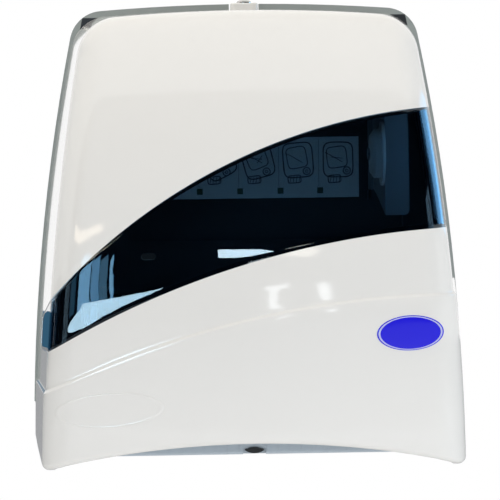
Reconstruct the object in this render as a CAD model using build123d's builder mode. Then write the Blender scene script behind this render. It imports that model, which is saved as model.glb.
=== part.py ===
from build123d import *
import math
import os

# Lever-operated roll towel dispenser for a wall, in millimetres.
# The wall is the plane y = 0 and the dispenser stands out from it towards -Y, with +Z up and
# +X to the right of someone who faces it. "Depth" is the distance out from the wall, so y = -depth.

# ---- driving dimensions ----------------------------------------------------------------------
TOWEL_WIDTH = 203.0       # the widest roll that the dispenser takes
ROLL_RADIUS = 97.0        # the fattest roll that the dispenser takes
CORE_BORE = 38.0          # inside diameter of the roll's cardboard core
SIDE_ROOM = 73.5          # from the roll's end to the widest point of the back plate
BACK_ROOM = 13.0          # from the wall to the fattest roll
FRONT_ROOM = 29.0         # from the fattest roll to the front of the cover
PLATE_TOP = 172.8         # height of the back plate's arched top at the middle
PLATE_THICK = 3.0
PLATE_BORDER = 3.0        # how much the border stands out from the plate
COVER_WALL = 2.6
WIDEST = TOWEL_WIDTH / 2 + SIDE_ROOM                # half the back plate's greatest width
ROLL_DEPTH = ROLL_RADIUS + BACK_ROOM
COVER_DEPTH = ROLL_DEPTH + ROLL_RADIUS + FRONT_ROOM  # greatest depth of the cover's front

# clearances
RUNNING = 0.05            # radial clearance of a shaft or pin that turns in its hole
SLIP = 0.3                # gap between faces that pass each other
SEAT = 0.2                # gap around a piece that is set into another
PAST = 1.0                # how far a cut runs past the face that it opens

# outline of the plate and of the cover, seen from the front
SIDE_RADIUS = 1683.0      # the long sides are arcs
WIDEST_Z = -194.0
TOP_SAG = 6.0             # how far the arched top falls at the corners
PLATE_ROUND = 27.0
COVER_ROUND = 32.0
EDGE_SIDE = 1.5           # plate edge showing beside the cover
EDGE_TOP = 4.0            # plate edge showing above the cover
SIDE_DRAFT = math.tan(math.radians(7.0))
TOP_DRAFT = math.tan(math.radians(5.0))
LOFT_DEPTH = COVER_DEPTH + 14.0

# the cover's front: an arc in side view, turned about an upright axis behind the wall
PROFILE_RADIUS = 366.0
PROFILE_Z = -60.0
PLAN_RADIUS = 950.0
FRONT_ROUND = 24.0
PANEL_STEP = 1.6          # the lower panel stands proud of the upper one
COVER_BACK = PLATE_THICK + PLATE_BORDER

# arcs on the cover's front, as (centre x, centre z, radius)
WINDOW_TOP = (158.7, -321.0, 404.7)
WINDOW_BOTTOM = (161.0, -595.4, 593.7)
CREASE = (132.6, -671.7, 623.3)
LIP = (0.0, -727.7, 575.0)
SKIRT_Z = LIP[1] + math.sqrt(LIP[2] ** 2 - WIDEST ** 2) - 15.0   # the blank ends below the lip
WINDOW_BACK = COVER_DEPTH - 172.0   # the window wraps round the corners to this depth
WINDOW_FLANGE = 5.0
LIP_FLOOR = 3.0
LIP_RETURN = 9.0
FRONT_CUT = COVER_DEPTH + 64.0     # long enough to cut through from front to back

# cover hinge and lock
HINGE_DEPTH = 17.0
HINGE_Z = -160.0
HINGE_X = WIDEST - 35.0
HINGE_PIN = 3.0
HINGE_LUG = 7.0
BRACKET_WIDTH = 8.0
PLATE_BOTTOM = HINGE_Z - HINGE_LUG - 1.0   # lowest edge of the back plate's hinge tab
RELIEF_Z = HINGE_Z + 2 * HINGE_LUG         # the cover's sides are cut away below this
LOCK_DEPTH = 14.0
LOCK_RADIUS = 6.0
LOCK_WIDTH = 11.0
LOCK_FLOOR = PLATE_TOP - 22.8
LOCK_TOP = PLATE_TOP - 0.8
LOCK_DOME = PLATE_TOP + 2.0
CAM_Z = LOCK_FLOOR - 9.0
CAM_THICK = 2.5
CAM_REACH = 8.5

# roll carrier
ROLL_Z = 50.0
ARM_FACE = TOWEL_WIDTH / 2 + 0.5
ARM_THICK = 2.5
ARM_PIVOT = 12.0
ARM_LOW = ROLL_Z - 28.0
ARM_HIGH = ROLL_Z + 28.0
ARM_FRONT = ROLL_DEPTH + 11.0
FLANGE_OUT = 18.0
FLANGE_LOW = ROLL_Z - 46.0
FLANGE_HIGH = ROLL_Z + 37.0
HUB_PLUG = 8.0
HUB_DISC = 24.0

# feed module
FRAME_FACE = TOWEL_WIDTH / 2 + 3.0
FRAME_THICK = 3.0
FRAME_OUT = FRAME_FACE + FRAME_THICK
DRIVE_Z = -95.0
DRIVE_RADIUS = 19.0
DRIVE_SHAFT = 4.0
SHAFT_END = 3.0
PINCH_RADIUS = 11.0
PAPER = 0.3
ROLLER_PITCH = (TOWEL_WIDTH - 5.0) / 3
ROLLER_LENGTH = ROLLER_PITCH - 14.0

# lever and gears; the lever's pivot sits just behind the cover's front
MODULE = 1.6
PINION_TEETH = 12
SECTOR_TEETH = 72
PRESSURE = math.radians(20.0)
BACKLASH = 0.25
GEAR_THICK = 4.0
CENTRES = MODULE * (PINION_TEETH + SECTOR_TEETH) / 2
CENTRES_ANGLE = 30.0
PIVOT_DEPTH = COVER_DEPTH - 27.8
PIVOT_Z = DRIVE_Z + CENTRES * math.sin(math.radians(CENTRES_ANGLE))
DRIVE_DEPTH = PIVOT_DEPTH - CENTRES * math.cos(math.radians(CENTRES_ANGLE))
PINCH_DEPTH = DRIVE_DEPTH - DRIVE_RADIUS - PAPER - PINCH_RADIUS
PIVOT_PIN = 3.0
LEVER_FACE = FRAME_OUT + 1.5
LEVER_THICK = 4.0
LEVER_OUT = LEVER_FACE + LEVER_THICK
SECTOR_FACE = LEVER_OUT
GEAR_FACE = LEVER_OUT + 2.0
BAR_FRONT = COVER_DEPTH - 31.0
BAR_BACK = BAR_FRONT - 15.0
BAR_TOP = PIVOT_Z - 76.6
BAR_BOTTOM = BAR_TOP - 23.3
BAR_RIB_PITCH = 8.1
BAR_RIB = 1.0
NOTCH = 8.0
ARM_HALF = 8.0            # half the width of a lever arm
ARM_FOOT = BAR_BOTTOM + 12.3
ARM_FOOT_DEPTH = (BAR_FRONT + BAR_BACK) / 2
ARM_LEAN = math.atan2(PIVOT_DEPTH - ARM_FOOT_DEPTH, PIVOT_Z - ARM_FOOT)

os.makedirs("parts", exist_ok=True)
BASE = (Align.CENTER, Align.CENTER, Align.MIN)


# ---- small tools -----------------------------------------------------------------------------
def slab(x0, x1, depth0, depth1, z0, z1, mode=Mode.ADD):
    """A block between two values of x, of depth and of height."""
    with Locations(((x0 + x1) / 2, -(depth0 + depth1) / 2, (z0 + z1) / 2)):
        Box(abs(x1 - x0), depth1 - depth0, z1 - z0, mode=mode)


def rod_x(radius, x0, x1, depth, z, mode=Mode.ADD):
    """A round bar along X, at one depth and height."""
    with Locations(Plane(origin=(min(x0, x1), -depth, z), z_dir=(1, 0, 0))):
        Cylinder(radius, abs(x1 - x0), align=BASE, mode=mode)


def rod_y(radius, depth0, depth1, x, z, mode=Mode.ADD):
    """A round bar square to the wall, from one depth to another."""
    with Locations(Plane(origin=(x, -depth0, z), z_dir=(0, -1, 0))):
        Cylinder(radius, depth1 - depth0, align=BASE, mode=mode)


def rod_z(radius, z0, z1, x, depth, mode=Mode.ADD):
    """An upright round bar."""
    with Locations((x, -depth, z0)):
        Cylinder(radius, z1 - z0, align=BASE, mode=mode)


def save(piece, label):
    """Name a finished piece and write its STEP file."""
    piece.part.label = label
    export_step(piece.part, f"parts/{label}.step")


def arc_height(x, arc):
    """Height at x of an arc given as (centre x, centre z, radius)."""
    centre_x, centre_z, radius = arc
    return centre_z + math.sqrt(radius ** 2 - (x - centre_x) ** 2)


def grown(arc, amount):
    """The same arc with a larger radius."""
    return (arc[0], arc[1], arc[2] + amount)


def coil(start, direction, radius, wire, length, turns):
    """A coil spring's body, from its start point along a direction."""
    with BuildPart() as spring:
        with BuildLine() as route:
            Helix(pitch=length / turns, height=length, radius=radius, center=start, direction=direction)
        with BuildSketch(Plane(origin=route.line @ 0, z_dir=route.line % 0)):
            Circle(wire / 2)
        sweep(is_frenet=True)
    return spring.part


# ---- outlines shared by the back plate and the cover -----------------------------------------
def half_width(z):
    """Half the back plate's width at a height."""
    return math.sqrt(SIDE_RADIUS ** 2 - (z - WIDEST_Z) ** 2) - (SIDE_RADIUS - WIDEST)


def outline(depth, side_inset, top, corner_round, bottom):
    """Face across the dispenser: a flat foot, two long side arcs, an arched top, round corners."""
    corner_z = top - TOP_SAG
    middle_z = (corner_z + bottom) / 2
    foot = (half_width(bottom) - side_inset, bottom)
    side = (half_width(middle_z) - side_inset, middle_z)
    corner = (half_width(corner_z) - side_inset, corner_z)
    with BuildSketch(Plane.XZ.offset(depth)) as face:
        with BuildLine():
            ThreePointArc(foot, side, corner)
            ThreePointArc(corner, (0, top), (-corner[0], corner[1]))
            ThreePointArc((-corner[0], corner[1]), (-side[0], side[1]), (-foot[0], foot[1]))
            Line((-foot[0], foot[1]), foot)
        make_face()
        fillet(face.vertices().group_by(Axis.Y)[-1], radius=corner_round)
    return face.sketch


def cover_section(depth, inset):
    """The cover's outline at a depth, narrowed by its draft and by an inset."""
    side_inset = EDGE_SIDE + depth * SIDE_DRAFT + inset
    top = PLATE_TOP - EDGE_TOP - depth * TOP_DRAFT - inset
    return outline(depth, side_inset, top, COVER_ROUND - inset, SKIRT_Z)


def front_depth(z, inset):
    """Depth of the cover's front at the middle, at a height."""
    radius = PROFILE_RADIUS - inset
    return COVER_DEPTH - PROFILE_RADIUS + math.sqrt(radius ** 2 - (z - PROFILE_Z) ** 2)


def envelope(inset, front_round=FRONT_ROUND):
    """Solid within the cover's skin, with the skin moved inwards by the inset."""
    low = SKIRT_Z - 10
    high = PLATE_TOP
    behind = 40.0
    with BuildPart() as shape:
        loft([cover_section(0, inset), cover_section(LOFT_DEPTH, inset)], ruled=True)
        with BuildSketch(Plane.YZ):
            with BuildLine():
                Polyline((-front_depth(low, inset), low), (behind, low), (behind, high),
                         (-front_depth(high, inset), high))
                ThreePointArc((-front_depth(high, inset), high),
                              (-front_depth(PROFILE_Z, inset), PROFILE_Z),
                              (-front_depth(low, inset), low))
            make_face()
        revolve(axis=Axis((0, PLAN_RADIUS, 0), (0, 0, 1)), mode=Mode.INTERSECT)
        front = shape.faces().sort_by(Axis.Y)[0]
        fillet(front.edges().sort_by(Axis.Z)[1:], radius=front_round - inset)
    return shape.part


def reach_below(arc, bottom=SKIRT_Z - 20):
    """Prism through the dispenser, below an arc."""
    wide = WIDEST + 20
    with BuildPart() as prism:
        with BuildSketch(Plane.XZ):
            with BuildLine():
                Polyline((wide, arc_height(wide, arc)), (wide, bottom), (-wide, bottom),
                         (-wide, arc_height(-wide, arc)))
                ThreePointArc((-wide, arc_height(-wide, arc)), (0, arc_height(0, arc)),
                              (wide, arc_height(wide, arc)))
            make_face()
        extrude(amount=FRONT_CUT)
    return prism.part


def window_band(grow, back):
    """Prism between the window's two arcs, from a depth forwards."""
    with BuildPart() as band:
        add(reach_below(grown(WINDOW_TOP, grow)))
        add(reach_below(grown(WINDOW_BOTTOM, -grow), SKIRT_Z - 30), mode=Mode.SUBTRACT)
        slab(-WIDEST - 30, WIDEST + 30, -1, back, -WIDEST - 60, WIDEST + 20, mode=Mode.SUBTRACT)
    return band.part


# ---- back plate ------------------------------------------------------------------------------
# Moulded plate screwed to the wall. A raised border shows round the cover, and a rim inside the
# cover locates it. It carries the keeper, the arm knuckles and the hinge brackets.
SLOT_X = 80.0
SLOT_LOW = -30.0
SLOT_HIGH = 120.0
SLOT_RADIUS = 2.75
SLOT_LENGTH = 12.0
RIM_DEPTH = 16.0
RIM_SIDE = 7.4
RIM_TOP = 9.6
RIM_THICK = 2.2
KNUCKLE = 5.0
KNUCKLE_LENGTH = 8.0
ARM_PIN = 2.0
ARM_X = ARM_FACE + ARM_THICK / 2
FOOT_FACE = PLATE_THICK + 3.0     # front of the module's feet, which are screwed to the plate
FOOT_WIDTH = 16.0
SCREW_X = FRAME_OUT + 10.0
SCREW_HEIGHTS = (DRIVE_Z - 37.0, DRIVE_Z + 23.0)
SCREW_RADIUS = 2.0
RIB_THICK = 2.0
CROSS_RIBS = (-20.0, 98.0)
CROSS_RIB_HALF = 96.0
SIDE_RIB_X = FRAME_OUT + FOOT_WIDTH + 2.5
SIDE_RIB_FRONT = 9.0
SIDE_RIB_LOW = -120.0
SIDE_RIB_HIGH = 130.0
KEEPER_HALF = 2.2
KEEPER_LOW = CAM_Z - 15.0
KEEPER_BACK = LOCK_DEPTH - 6.2
KEEPER_FRONT = LOCK_DEPTH - 3.7

with BuildPart() as back_plate:
    extrude(outline(0, 0, PLATE_TOP, PLATE_ROUND, RELIEF_Z), amount=COVER_BACK)
    extrude(outline(COVER_BACK, RIM_SIDE, PLATE_TOP - RIM_TOP, PLATE_ROUND, RELIEF_Z),
            amount=RIM_DEPTH - COVER_BACK)
    extrude(outline(PLATE_THICK, RIM_SIDE + RIM_THICK, PLATE_TOP - RIM_TOP - RIM_THICK,
                    PLATE_ROUND - RIM_THICK, RELIEF_Z - 1), amount=RIM_DEPTH, mode=Mode.SUBTRACT)
    slab(-HINGE_X - BRACKET_WIDTH - 2, HINGE_X + BRACKET_WIDTH + 2, 0, PLATE_THICK, PLATE_BOTTOM,
         RELIEF_Z + PAST)
    # room for the lock housing, and the keeper behind which the lock's tooth turns
    slab(-LOCK_WIDTH - 1, LOCK_WIDTH + 1, -PAST, RIM_DEPTH + PAST, LOCK_FLOOR - 1, PLATE_TOP + PAST,
         mode=Mode.SUBTRACT)
    slab(-KEEPER_HALF, KEEPER_HALF, KEEPER_BACK, KEEPER_FRONT, KEEPER_LOW, CAM_Z - 1)
    slab(-KEEPER_HALF, KEEPER_HALF, PLATE_THICK, KEEPER_BACK + 0.2, KEEPER_LOW, KEEPER_LOW + 5.5)
    # stiffening ribs
    for height in CROSS_RIBS:
        slab(-CROSS_RIB_HALF, CROSS_RIB_HALF, PLATE_THICK, COVER_BACK, height, height + RIB_THICK)
    for side in (-1, 1):
        slab(side * SIDE_RIB_X, side * (SIDE_RIB_X + RIB_THICK), PLATE_THICK, SIDE_RIB_FRONT,
             SIDE_RIB_LOW, SIDE_RIB_HIGH)
    # knuckles of the two roll arms
    for side in (-1, 1):
        for low, high in ((ARM_LOW - KNUCKLE_LENGTH, ARM_LOW - SLIP),
                          (ARM_HIGH + SLIP, ARM_HIGH + KNUCKLE_LENGTH)):
            slab(side * ARM_X - KNUCKLE, side * ARM_X + KNUCKLE, PLATE_THICK, ARM_PIVOT, low, high)
            rod_z(KNUCKLE, low, high, side * ARM_X, ARM_PIVOT)
        rod_z(ARM_PIN, ARM_LOW - KNUCKLE_LENGTH, ARM_HIGH + KNUCKLE_LENGTH, side * ARM_X, ARM_PIVOT,
              mode=Mode.SUBTRACT)
    # hinge brackets
    for side in (-1, 1):
        inner, outer = sorted((side * HINGE_X, side * (HINGE_X + BRACKET_WIDTH)))
        slab(inner, outer, PLATE_THICK, HINGE_DEPTH, HINGE_Z - HINGE_LUG, HINGE_Z + HINGE_LUG)
        rod_x(HINGE_LUG, inner, outer, HINGE_DEPTH, HINGE_Z)
        rod_x(HINGE_PIN, inner - PAST, outer + PAST, HINGE_DEPTH, HINGE_Z, mode=Mode.SUBTRACT)
    # slots for the wall screws, holes for the module's screws
    with BuildSketch(Plane.XZ.offset(-PAST)):
        with Locations((0, (SLOT_LOW + SLOT_HIGH) / 2)):
            with GridLocations(2 * SLOT_X, SLOT_HIGH - SLOT_LOW, 2, 2):
                SlotOverall(SLOT_LENGTH, 2 * SLOT_RADIUS)
    extrude(amount=PLATE_THICK + 2 * PAST, mode=Mode.SUBTRACT)
    for side in (-1, 1):
        for height in SCREW_HEIGHTS:
            rod_y(SCREW_RADIUS, -PAST, PLATE_THICK + PAST, side * SCREW_X, height,
                  mode=Mode.SUBTRACT)
save(back_plate, "back_plate")

# ---- instruction label: a plain printed sheet stuck to the plate -----------------------------
LABEL_WIDTH = 162.5
LABEL_X = 10.25
LABEL_LOW = 16.0
LABEL_HIGH = 65.0
LABEL_THICK = 0.3
with BuildPart() as instruction_label:
    slab(LABEL_X - LABEL_WIDTH / 2, LABEL_X + LABEL_WIDTH / 2, PLATE_THICK,
         PLATE_THICK + LABEL_THICK, LABEL_LOW, LABEL_HIGH)
save(instruction_label, "instruction_label")

# ---- feed module: two side frames ------------------------------------------------------------
# Each frame is a moulded cheek with a flange turned out along its back edge, bearing holes for
# the rollers, and a peg on which the lever's arm rests.
BUSH_RADIUS = 6.5
BLOCK = 6.0
BLOCK_TRAVEL = 8.0        # room for the spring behind a bearing block
STOP_RADIUS = 3.0
STOP_DOWN = 19.0          # how far below the pivot the lever's arm meets its peg
STOP_OFF = ARM_HALF + STOP_RADIUS + 0.1
STOP_DEPTH = PIVOT_DEPTH - STOP_DOWN * math.sin(ARM_LEAN) + STOP_OFF * math.cos(ARM_LEAN)
STOP_Z = PIVOT_Z - STOP_DOWN * math.cos(ARM_LEAN) - STOP_OFF * math.sin(ARM_LEAN)
FRAME_LOW = DRIVE_Z - 51.0
FRAME_HIGH = DRIVE_Z + 35.0
FRAME_ROUND = 6.0
FRAME_OUTLINE = (
    (PLATE_THICK, FRAME_HIGH), (DRIVE_DEPTH - 50, FRAME_HIGH), (DRIVE_DEPTH - 20, PIVOT_Z + 17.4),
    (PIVOT_DEPTH - 6, PIVOT_Z + 19.4), (PIVOT_DEPTH + 16, PIVOT_Z), (PIVOT_DEPTH + 16, STOP_Z - 3),
    (PIVOT_DEPTH - 2, STOP_Z - 11), (DRIVE_DEPTH + 27, DRIVE_Z - 18), (DRIVE_DEPTH + 7, DRIVE_Z - 23),
    (DRIVE_DEPTH + 4, DRIVE_Z - 36), (DRIVE_DEPTH - 8, FRAME_LOW), (PLATE_THICK, FRAME_LOW))

for side, name in ((-1, "module_frame_left"), (1, "module_frame_right")):
    with BuildPart() as frame:
        with BuildSketch(Plane.YZ.offset(side * FRAME_FACE)) as cheek:
            Polygon(*[(-depth, z) for depth, z in FRAME_OUTLINE], align=None)
            fillet(cheek.vertices().sort_by(Axis.X)[:4], radius=FRAME_ROUND)
        extrude(amount=side * FRAME_THICK)
        slab(side * FRAME_OUT, side * (FRAME_OUT + FOOT_WIDTH), PLATE_THICK, FOOT_FACE, FRAME_LOW,
             FRAME_HIGH)
        rod_x(STOP_RADIUS, side * FRAME_OUT, side * LEVER_OUT, STOP_DEPTH, STOP_Z)
        rod_x(BUSH_RADIUS, side * (FRAME_FACE - PAST), side * (FRAME_OUT + PAST), DRIVE_DEPTH,
              DRIVE_Z, mode=Mode.SUBTRACT)
        rod_x(PIVOT_PIN, side * (FRAME_FACE - PAST), side * (FRAME_OUT + PAST), PIVOT_DEPTH, PIVOT_Z,
              mode=Mode.SUBTRACT)
        slab(side * (FRAME_FACE - PAST), side * (FRAME_OUT + PAST),
             PINCH_DEPTH - BLOCK - BLOCK_TRAVEL, PINCH_DEPTH + BLOCK, DRIVE_Z - BLOCK,
             DRIVE_Z + BLOCK, mode=Mode.SUBTRACT)
        for height in SCREW_HEIGHTS:
            rod_y(SCREW_RADIUS, PLATE_THICK - PAST, FOOT_FACE + PAST, side * SCREW_X, height,
                  mode=Mode.SUBTRACT)
    save(frame, name)

# ---- screws that hold the module to the back plate -------------------------------------------
SCREW_HEAD = 3.8
HEAD_THICK = 2.4
DRIVE_SLOT = 1.0          # width and depth of the slot in a screw's head
with BuildPart() as module_screws:
    for side in (-1, 1):
        for height in SCREW_HEIGHTS:
            rod_y(SCREW_RADIUS, SEAT, FOOT_FACE, side * SCREW_X, height)
            rod_y(SCREW_HEAD, FOOT_FACE, FOOT_FACE + HEAD_THICK, side * SCREW_X, height)
            slab(side * SCREW_X - 2.6, side * SCREW_X + 2.6, FOOT_FACE + HEAD_THICK - DRIVE_SLOT,
                 FOOT_FACE + HEAD_THICK + PAST, height - DRIVE_SLOT / 2, height + DRIVE_SLOT / 2,
                 mode=Mode.SUBTRACT)
save(module_screws, "module_screws")

# ---- beams between the frames ----------------------------------------------------------------
REAR_FRONT = 34.0
REAR_LOW = DRIVE_Z + 3.0
REAR_HIGH = DRIVE_Z + 20.0
REAR_RIB_PITCH = 30.0
with BuildPart() as rear_beam:
    slab(-FRAME_FACE, FRAME_FACE, PLATE_THICK, REAR_FRONT, REAR_HIGH - 3, REAR_HIGH)
    slab(-FRAME_FACE, FRAME_FACE, PLATE_THICK, PLATE_THICK + 3, REAR_LOW, REAR_HIGH)
    slab(-FRAME_FACE, FRAME_FACE, REAR_FRONT - 3, REAR_FRONT, REAR_LOW, REAR_HIGH)
    for index in range(-3, 4):
        slab(index * REAR_RIB_PITCH - RIB_THICK / 2, index * REAR_RIB_PITCH + RIB_THICK / 2,
             PLATE_THICK, REAR_FRONT, REAR_LOW + 2, REAR_HIGH)
save(rear_beam, "rear_beam")

BEAM_BACK = DRIVE_DEPTH - 5.0
BEAM_FRONT = BEAM_BACK + 9.0
BEAM_HIGH = DRIVE_Z - DRIVE_RADIUS - 3.0
BEAM_LOW = BEAM_HIGH - 12.0
BAY = (TOWEL_WIDTH - 3.0) / 8     # pitch of the hollows in the beam and in the lever's bar
with BuildPart() as front_beam:
    slab(-FRAME_FACE, FRAME_FACE, BEAM_BACK, BEAM_FRONT, BEAM_LOW, BEAM_HIGH)
    for index in range(-4, 4):
        slab(index * BAY + 2, (index + 1) * BAY - 2, BEAM_BACK + 3, BEAM_FRONT + PAST, BEAM_LOW + 2.5,
             BEAM_HIGH - 2.5, mode=Mode.SUBTRACT)
save(front_beam, "front_beam")

# curved guard over the drive roller, so that the towel can't climb over it
GUARD_INNER = DRIVE_RADIUS + 4.0
with BuildPart() as roller_guard:
    with BuildSketch(Plane.YZ.offset(-FRAME_FACE)):
        with Locations((-DRIVE_DEPTH, DRIVE_Z)):
            Circle(GUARD_INNER + 2)
            Circle(GUARD_INNER, mode=Mode.SUBTRACT)
            with Locations((15, -12)):
                Rectangle(70, 52, mode=Mode.SUBTRACT)
            with Locations((30, 15)):
                Rectangle(44, 50, mode=Mode.SUBTRACT)
    extrude(amount=2 * FRAME_FACE)
save(roller_guard, "roller_guard")

# rear wall of the towel's way out, ribbed on the towel's side
GUIDE_OUTLINE = ((33, -14), (31, -13), (20.5, -29), (18.5, -51), (20.8, -51), (22.8, -30))
GUIDE_RIB_PITCH = (TOWEL_WIDTH + 1.0) / 17
with BuildPart() as paper_guide:
    with BuildSketch(Plane.YZ.offset(-FRAME_FACE)):
        with Locations((-DRIVE_DEPTH, DRIVE_Z)):
            Polygon(*GUIDE_OUTLINE, align=None)
    extrude(amount=2 * FRAME_FACE)
    for index in range(-8, 9):
        slab(index * GUIDE_RIB_PITCH - 0.7, index * GUIDE_RIB_PITCH + 0.7, DRIVE_DEPTH - 21,
             DRIVE_DEPTH - 17.2, DRIVE_Z - 50, DRIVE_Z - 30)
save(paper_guide, "paper_guide")

# ---- tear bar: toothed steel strip riveted behind the front beam -----------------------------
TEAR_THICK = 1.2
TEAR_BACK = BEAM_BACK - TEAR_THICK
TOOTH_PITCH = 3.0
TOOTH_DROP = 3.0
TOOTH_COUNT = int(TOWEL_WIDTH / TOOTH_PITCH) + 1
TEAR_TOP = BEAM_HIGH - 1.0
TEAR_LOW = BEAM_LOW - 4.0
TEAR_HALF = TOOTH_COUNT * TOOTH_PITCH / 2
RIVET_RADIUS = 1.5
RIVET_HEAD = 3.0
RIVET_Z = (BEAM_LOW + BEAM_HIGH) / 2
RIVET_PITCH = ROLLER_PITCH - 2.0
with BuildPart() as tear_bar:
    with BuildSketch(Plane.XZ.offset(TEAR_BACK)):
        with BuildLine():
            teeth = [(-TEAR_HALF, TEAR_LOW)]
            for index in range(TOOTH_COUNT):
                left = -TEAR_HALF + index * TOOTH_PITCH
                teeth.append((left + TOOTH_PITCH / 2, TEAR_LOW - TOOTH_DROP))
                teeth.append((left + TOOTH_PITCH, TEAR_LOW))
            Polyline(*teeth, (TEAR_HALF, TEAR_TOP), (-TEAR_HALF, TEAR_TOP), close=True)
        make_face()
        with Locations((0, RIVET_Z)):
            with GridLocations(RIVET_PITCH, 0, 4, 1):
                Circle(RIVET_RADIUS, mode=Mode.SUBTRACT)
    extrude(amount=TEAR_THICK)
save(tear_bar, "tear_bar")

with BuildPart() as tear_bar_rivets:
    for index in range(4):
        x = (index - 1.5) * RIVET_PITCH
        rod_y(RIVET_RADIUS, TEAR_BACK, BEAM_BACK, x, RIVET_Z)
        rod_y(RIVET_HEAD, TEAR_BACK - 1, TEAR_BACK, x, RIVET_Z)
save(tear_bar_rivets, "tear_bar_rivets")

# ---- drive roller ----------------------------------------------------------------------------
KNOB_FACE = LEVER_OUT + 1.0
KNOB_THICK = 8.0
STEP_X = FRAME_OUT + 4.0
SHAFT_RIGHT = GEAR_FACE + GEAR_THICK + 2.0
SHAFT_LEFT = KNOB_FACE + KNOB_THICK
CORE_RADIUS = 15.0
CORE_HOLLOW = 14.0        # depth of the hollow in a roller core's end
with BuildPart() as drive_shaft:
    rod_x(DRIVE_SHAFT, -STEP_X, STEP_X, DRIVE_DEPTH, DRIVE_Z)
    rod_x(SHAFT_END, STEP_X, SHAFT_RIGHT, DRIVE_DEPTH, DRIVE_Z)
    rod_x(SHAFT_END, -SHAFT_LEFT, -STEP_X, DRIVE_DEPTH, DRIVE_Z)
save(drive_shaft, "drive_shaft")

with BuildPart() as drive_cores:
    for index in (-1, 0, 1):
        start = index * ROLLER_PITCH - ROLLER_LENGTH / 2
        rod_x(CORE_RADIUS, start, start + ROLLER_LENGTH, DRIVE_DEPTH, DRIVE_Z)
        rod_x(CORE_RADIUS - 3, start - PAST, start + CORE_HOLLOW, DRIVE_DEPTH, DRIVE_Z,
              mode=Mode.SUBTRACT)
        rod_x(DRIVE_SHAFT + 3, start, start + CORE_HOLLOW, DRIVE_DEPTH, DRIVE_Z)
        rod_x(DRIVE_SHAFT, start - PAST, start + ROLLER_LENGTH + PAST, DRIVE_DEPTH, DRIVE_Z,
              mode=Mode.SUBTRACT)
save(drive_cores, "drive_cores")

GROOVE_COUNT = 36
GROOVE_RADIUS = 0.5
with BuildPart() as drive_sleeves:
    for index in (-1, 0, 1):
        start = index * ROLLER_PITCH - ROLLER_LENGTH / 2
        with BuildSketch(Plane.YZ.offset(start)):
            with Locations((-DRIVE_DEPTH, DRIVE_Z)):
                Circle(DRIVE_RADIUS)
                Circle(CORE_RADIUS, mode=Mode.SUBTRACT)
                with PolarLocations(DRIVE_RADIUS, GROOVE_COUNT):
                    Circle(GROOVE_RADIUS, mode=Mode.SUBTRACT)
        extrude(amount=ROLLER_LENGTH)
save(drive_sleeves, "drive_sleeves")

BUSH_COLLAR = 1.2
with BuildPart() as drive_bushes:
    for side in (-1, 1):
        rod_x(BUSH_RADIUS, side * FRAME_FACE, side * FRAME_OUT, DRIVE_DEPTH, DRIVE_Z)
        rod_x(BUSH_RADIUS + 2, side * (FRAME_FACE - BUSH_COLLAR), side * FRAME_FACE, DRIVE_DEPTH,
              DRIVE_Z)
        rod_x(DRIVE_SHAFT + RUNNING, side * (FRAME_FACE - 2), side * (FRAME_OUT + 1), DRIVE_DEPTH,
              DRIVE_Z, mode=Mode.SUBTRACT)
save(drive_bushes, "drive_bushes")

KNOB_RADIUS = 17.0
SCALLOPS = 20
SCALLOP_RADIUS = 1.6
with BuildPart() as feed_knob:
    with BuildSketch(Plane.YZ.offset(-KNOB_FACE)):
        with Locations((-DRIVE_DEPTH, DRIVE_Z)):
            Circle(KNOB_RADIUS)
            Circle(SHAFT_END, mode=Mode.SUBTRACT)
            with PolarLocations(KNOB_RADIUS + 0.6, SCALLOPS):
                Circle(SCALLOP_RADIUS, mode=Mode.SUBTRACT)
    extrude(amount=-KNOB_THICK)
save(feed_knob, "feed_knob")

# ---- pinch roller and its sprung bearing blocks ----------------------------------------------
PINCH_SHAFT = 3.0
with BuildPart() as pinch_shaft:
    rod_x(PINCH_SHAFT, -FRAME_OUT - 1, FRAME_OUT + 1, PINCH_DEPTH, DRIVE_Z)
save(pinch_shaft, "pinch_shaft")

with BuildPart() as pinch_sleeves:
    for index in (-1, 0, 1):
        start = index * ROLLER_PITCH - ROLLER_LENGTH / 2
        rod_x(PINCH_RADIUS, start, start + ROLLER_LENGTH, PINCH_DEPTH, DRIVE_Z)
        rod_x(PINCH_SHAFT, start - PAST, start + ROLLER_LENGTH + PAST, PINCH_DEPTH, DRIVE_Z,
              mode=Mode.SUBTRACT)
save(pinch_sleeves, "pinch_sleeves")

with BuildPart() as pinch_blocks:
    for side in (-1, 1):
        slab(side * FRAME_FACE, side * FRAME_OUT, PINCH_DEPTH - BLOCK, PINCH_DEPTH + BLOCK,
             DRIVE_Z - BLOCK, DRIVE_Z + BLOCK)
        rod_x(PINCH_SHAFT + RUNNING, side * (FRAME_FACE - PAST), side * (FRAME_OUT + PAST),
              PINCH_DEPTH, DRIVE_Z, mode=Mode.SUBTRACT)
save(pinch_blocks, "pinch_blocks")

PINCH_COIL = 2.1
PINCH_WIRE = 1.0
with BuildPart() as pinch_springs:
    for side in (-1, 1):
        seat = (side * (FRAME_FACE + FRAME_THICK / 2),
                -(PINCH_DEPTH - BLOCK - BLOCK_TRAVEL + PINCH_WIRE / 2 + 0.1), DRIVE_Z)
        add(coil(seat, (0, -1, 0), PINCH_COIL, PINCH_WIRE, BLOCK_TRAVEL - PINCH_WIRE - 0.2, 3.5))
save(pinch_springs, "pinch_springs")

# ---- push lever ------------------------------------------------------------------------------
# A ribbed bar under the cover's lip, on two arms that hang from pivots in the side frames.
BAR_SHELL = 2.5
BAR_ROUND = 2.0
RIB_HALF = 0.8
LENS_HALF = 6.6
LENS_RISE = 2.1
LENS_Z = BAR_BOTTOM + 3.2
LENS_BACK = BAR_FRONT - 5.0
LENS_FRONT = BAR_FRONT + 1.6
GEAR_SCREW = 1.5
GEAR_SCREW_DROPS = (18.0, 30.0)   # the sector's screws, below the pivot
GEAR_SCREW_DEPTH = PIVOT_DEPTH - 2.2


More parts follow.
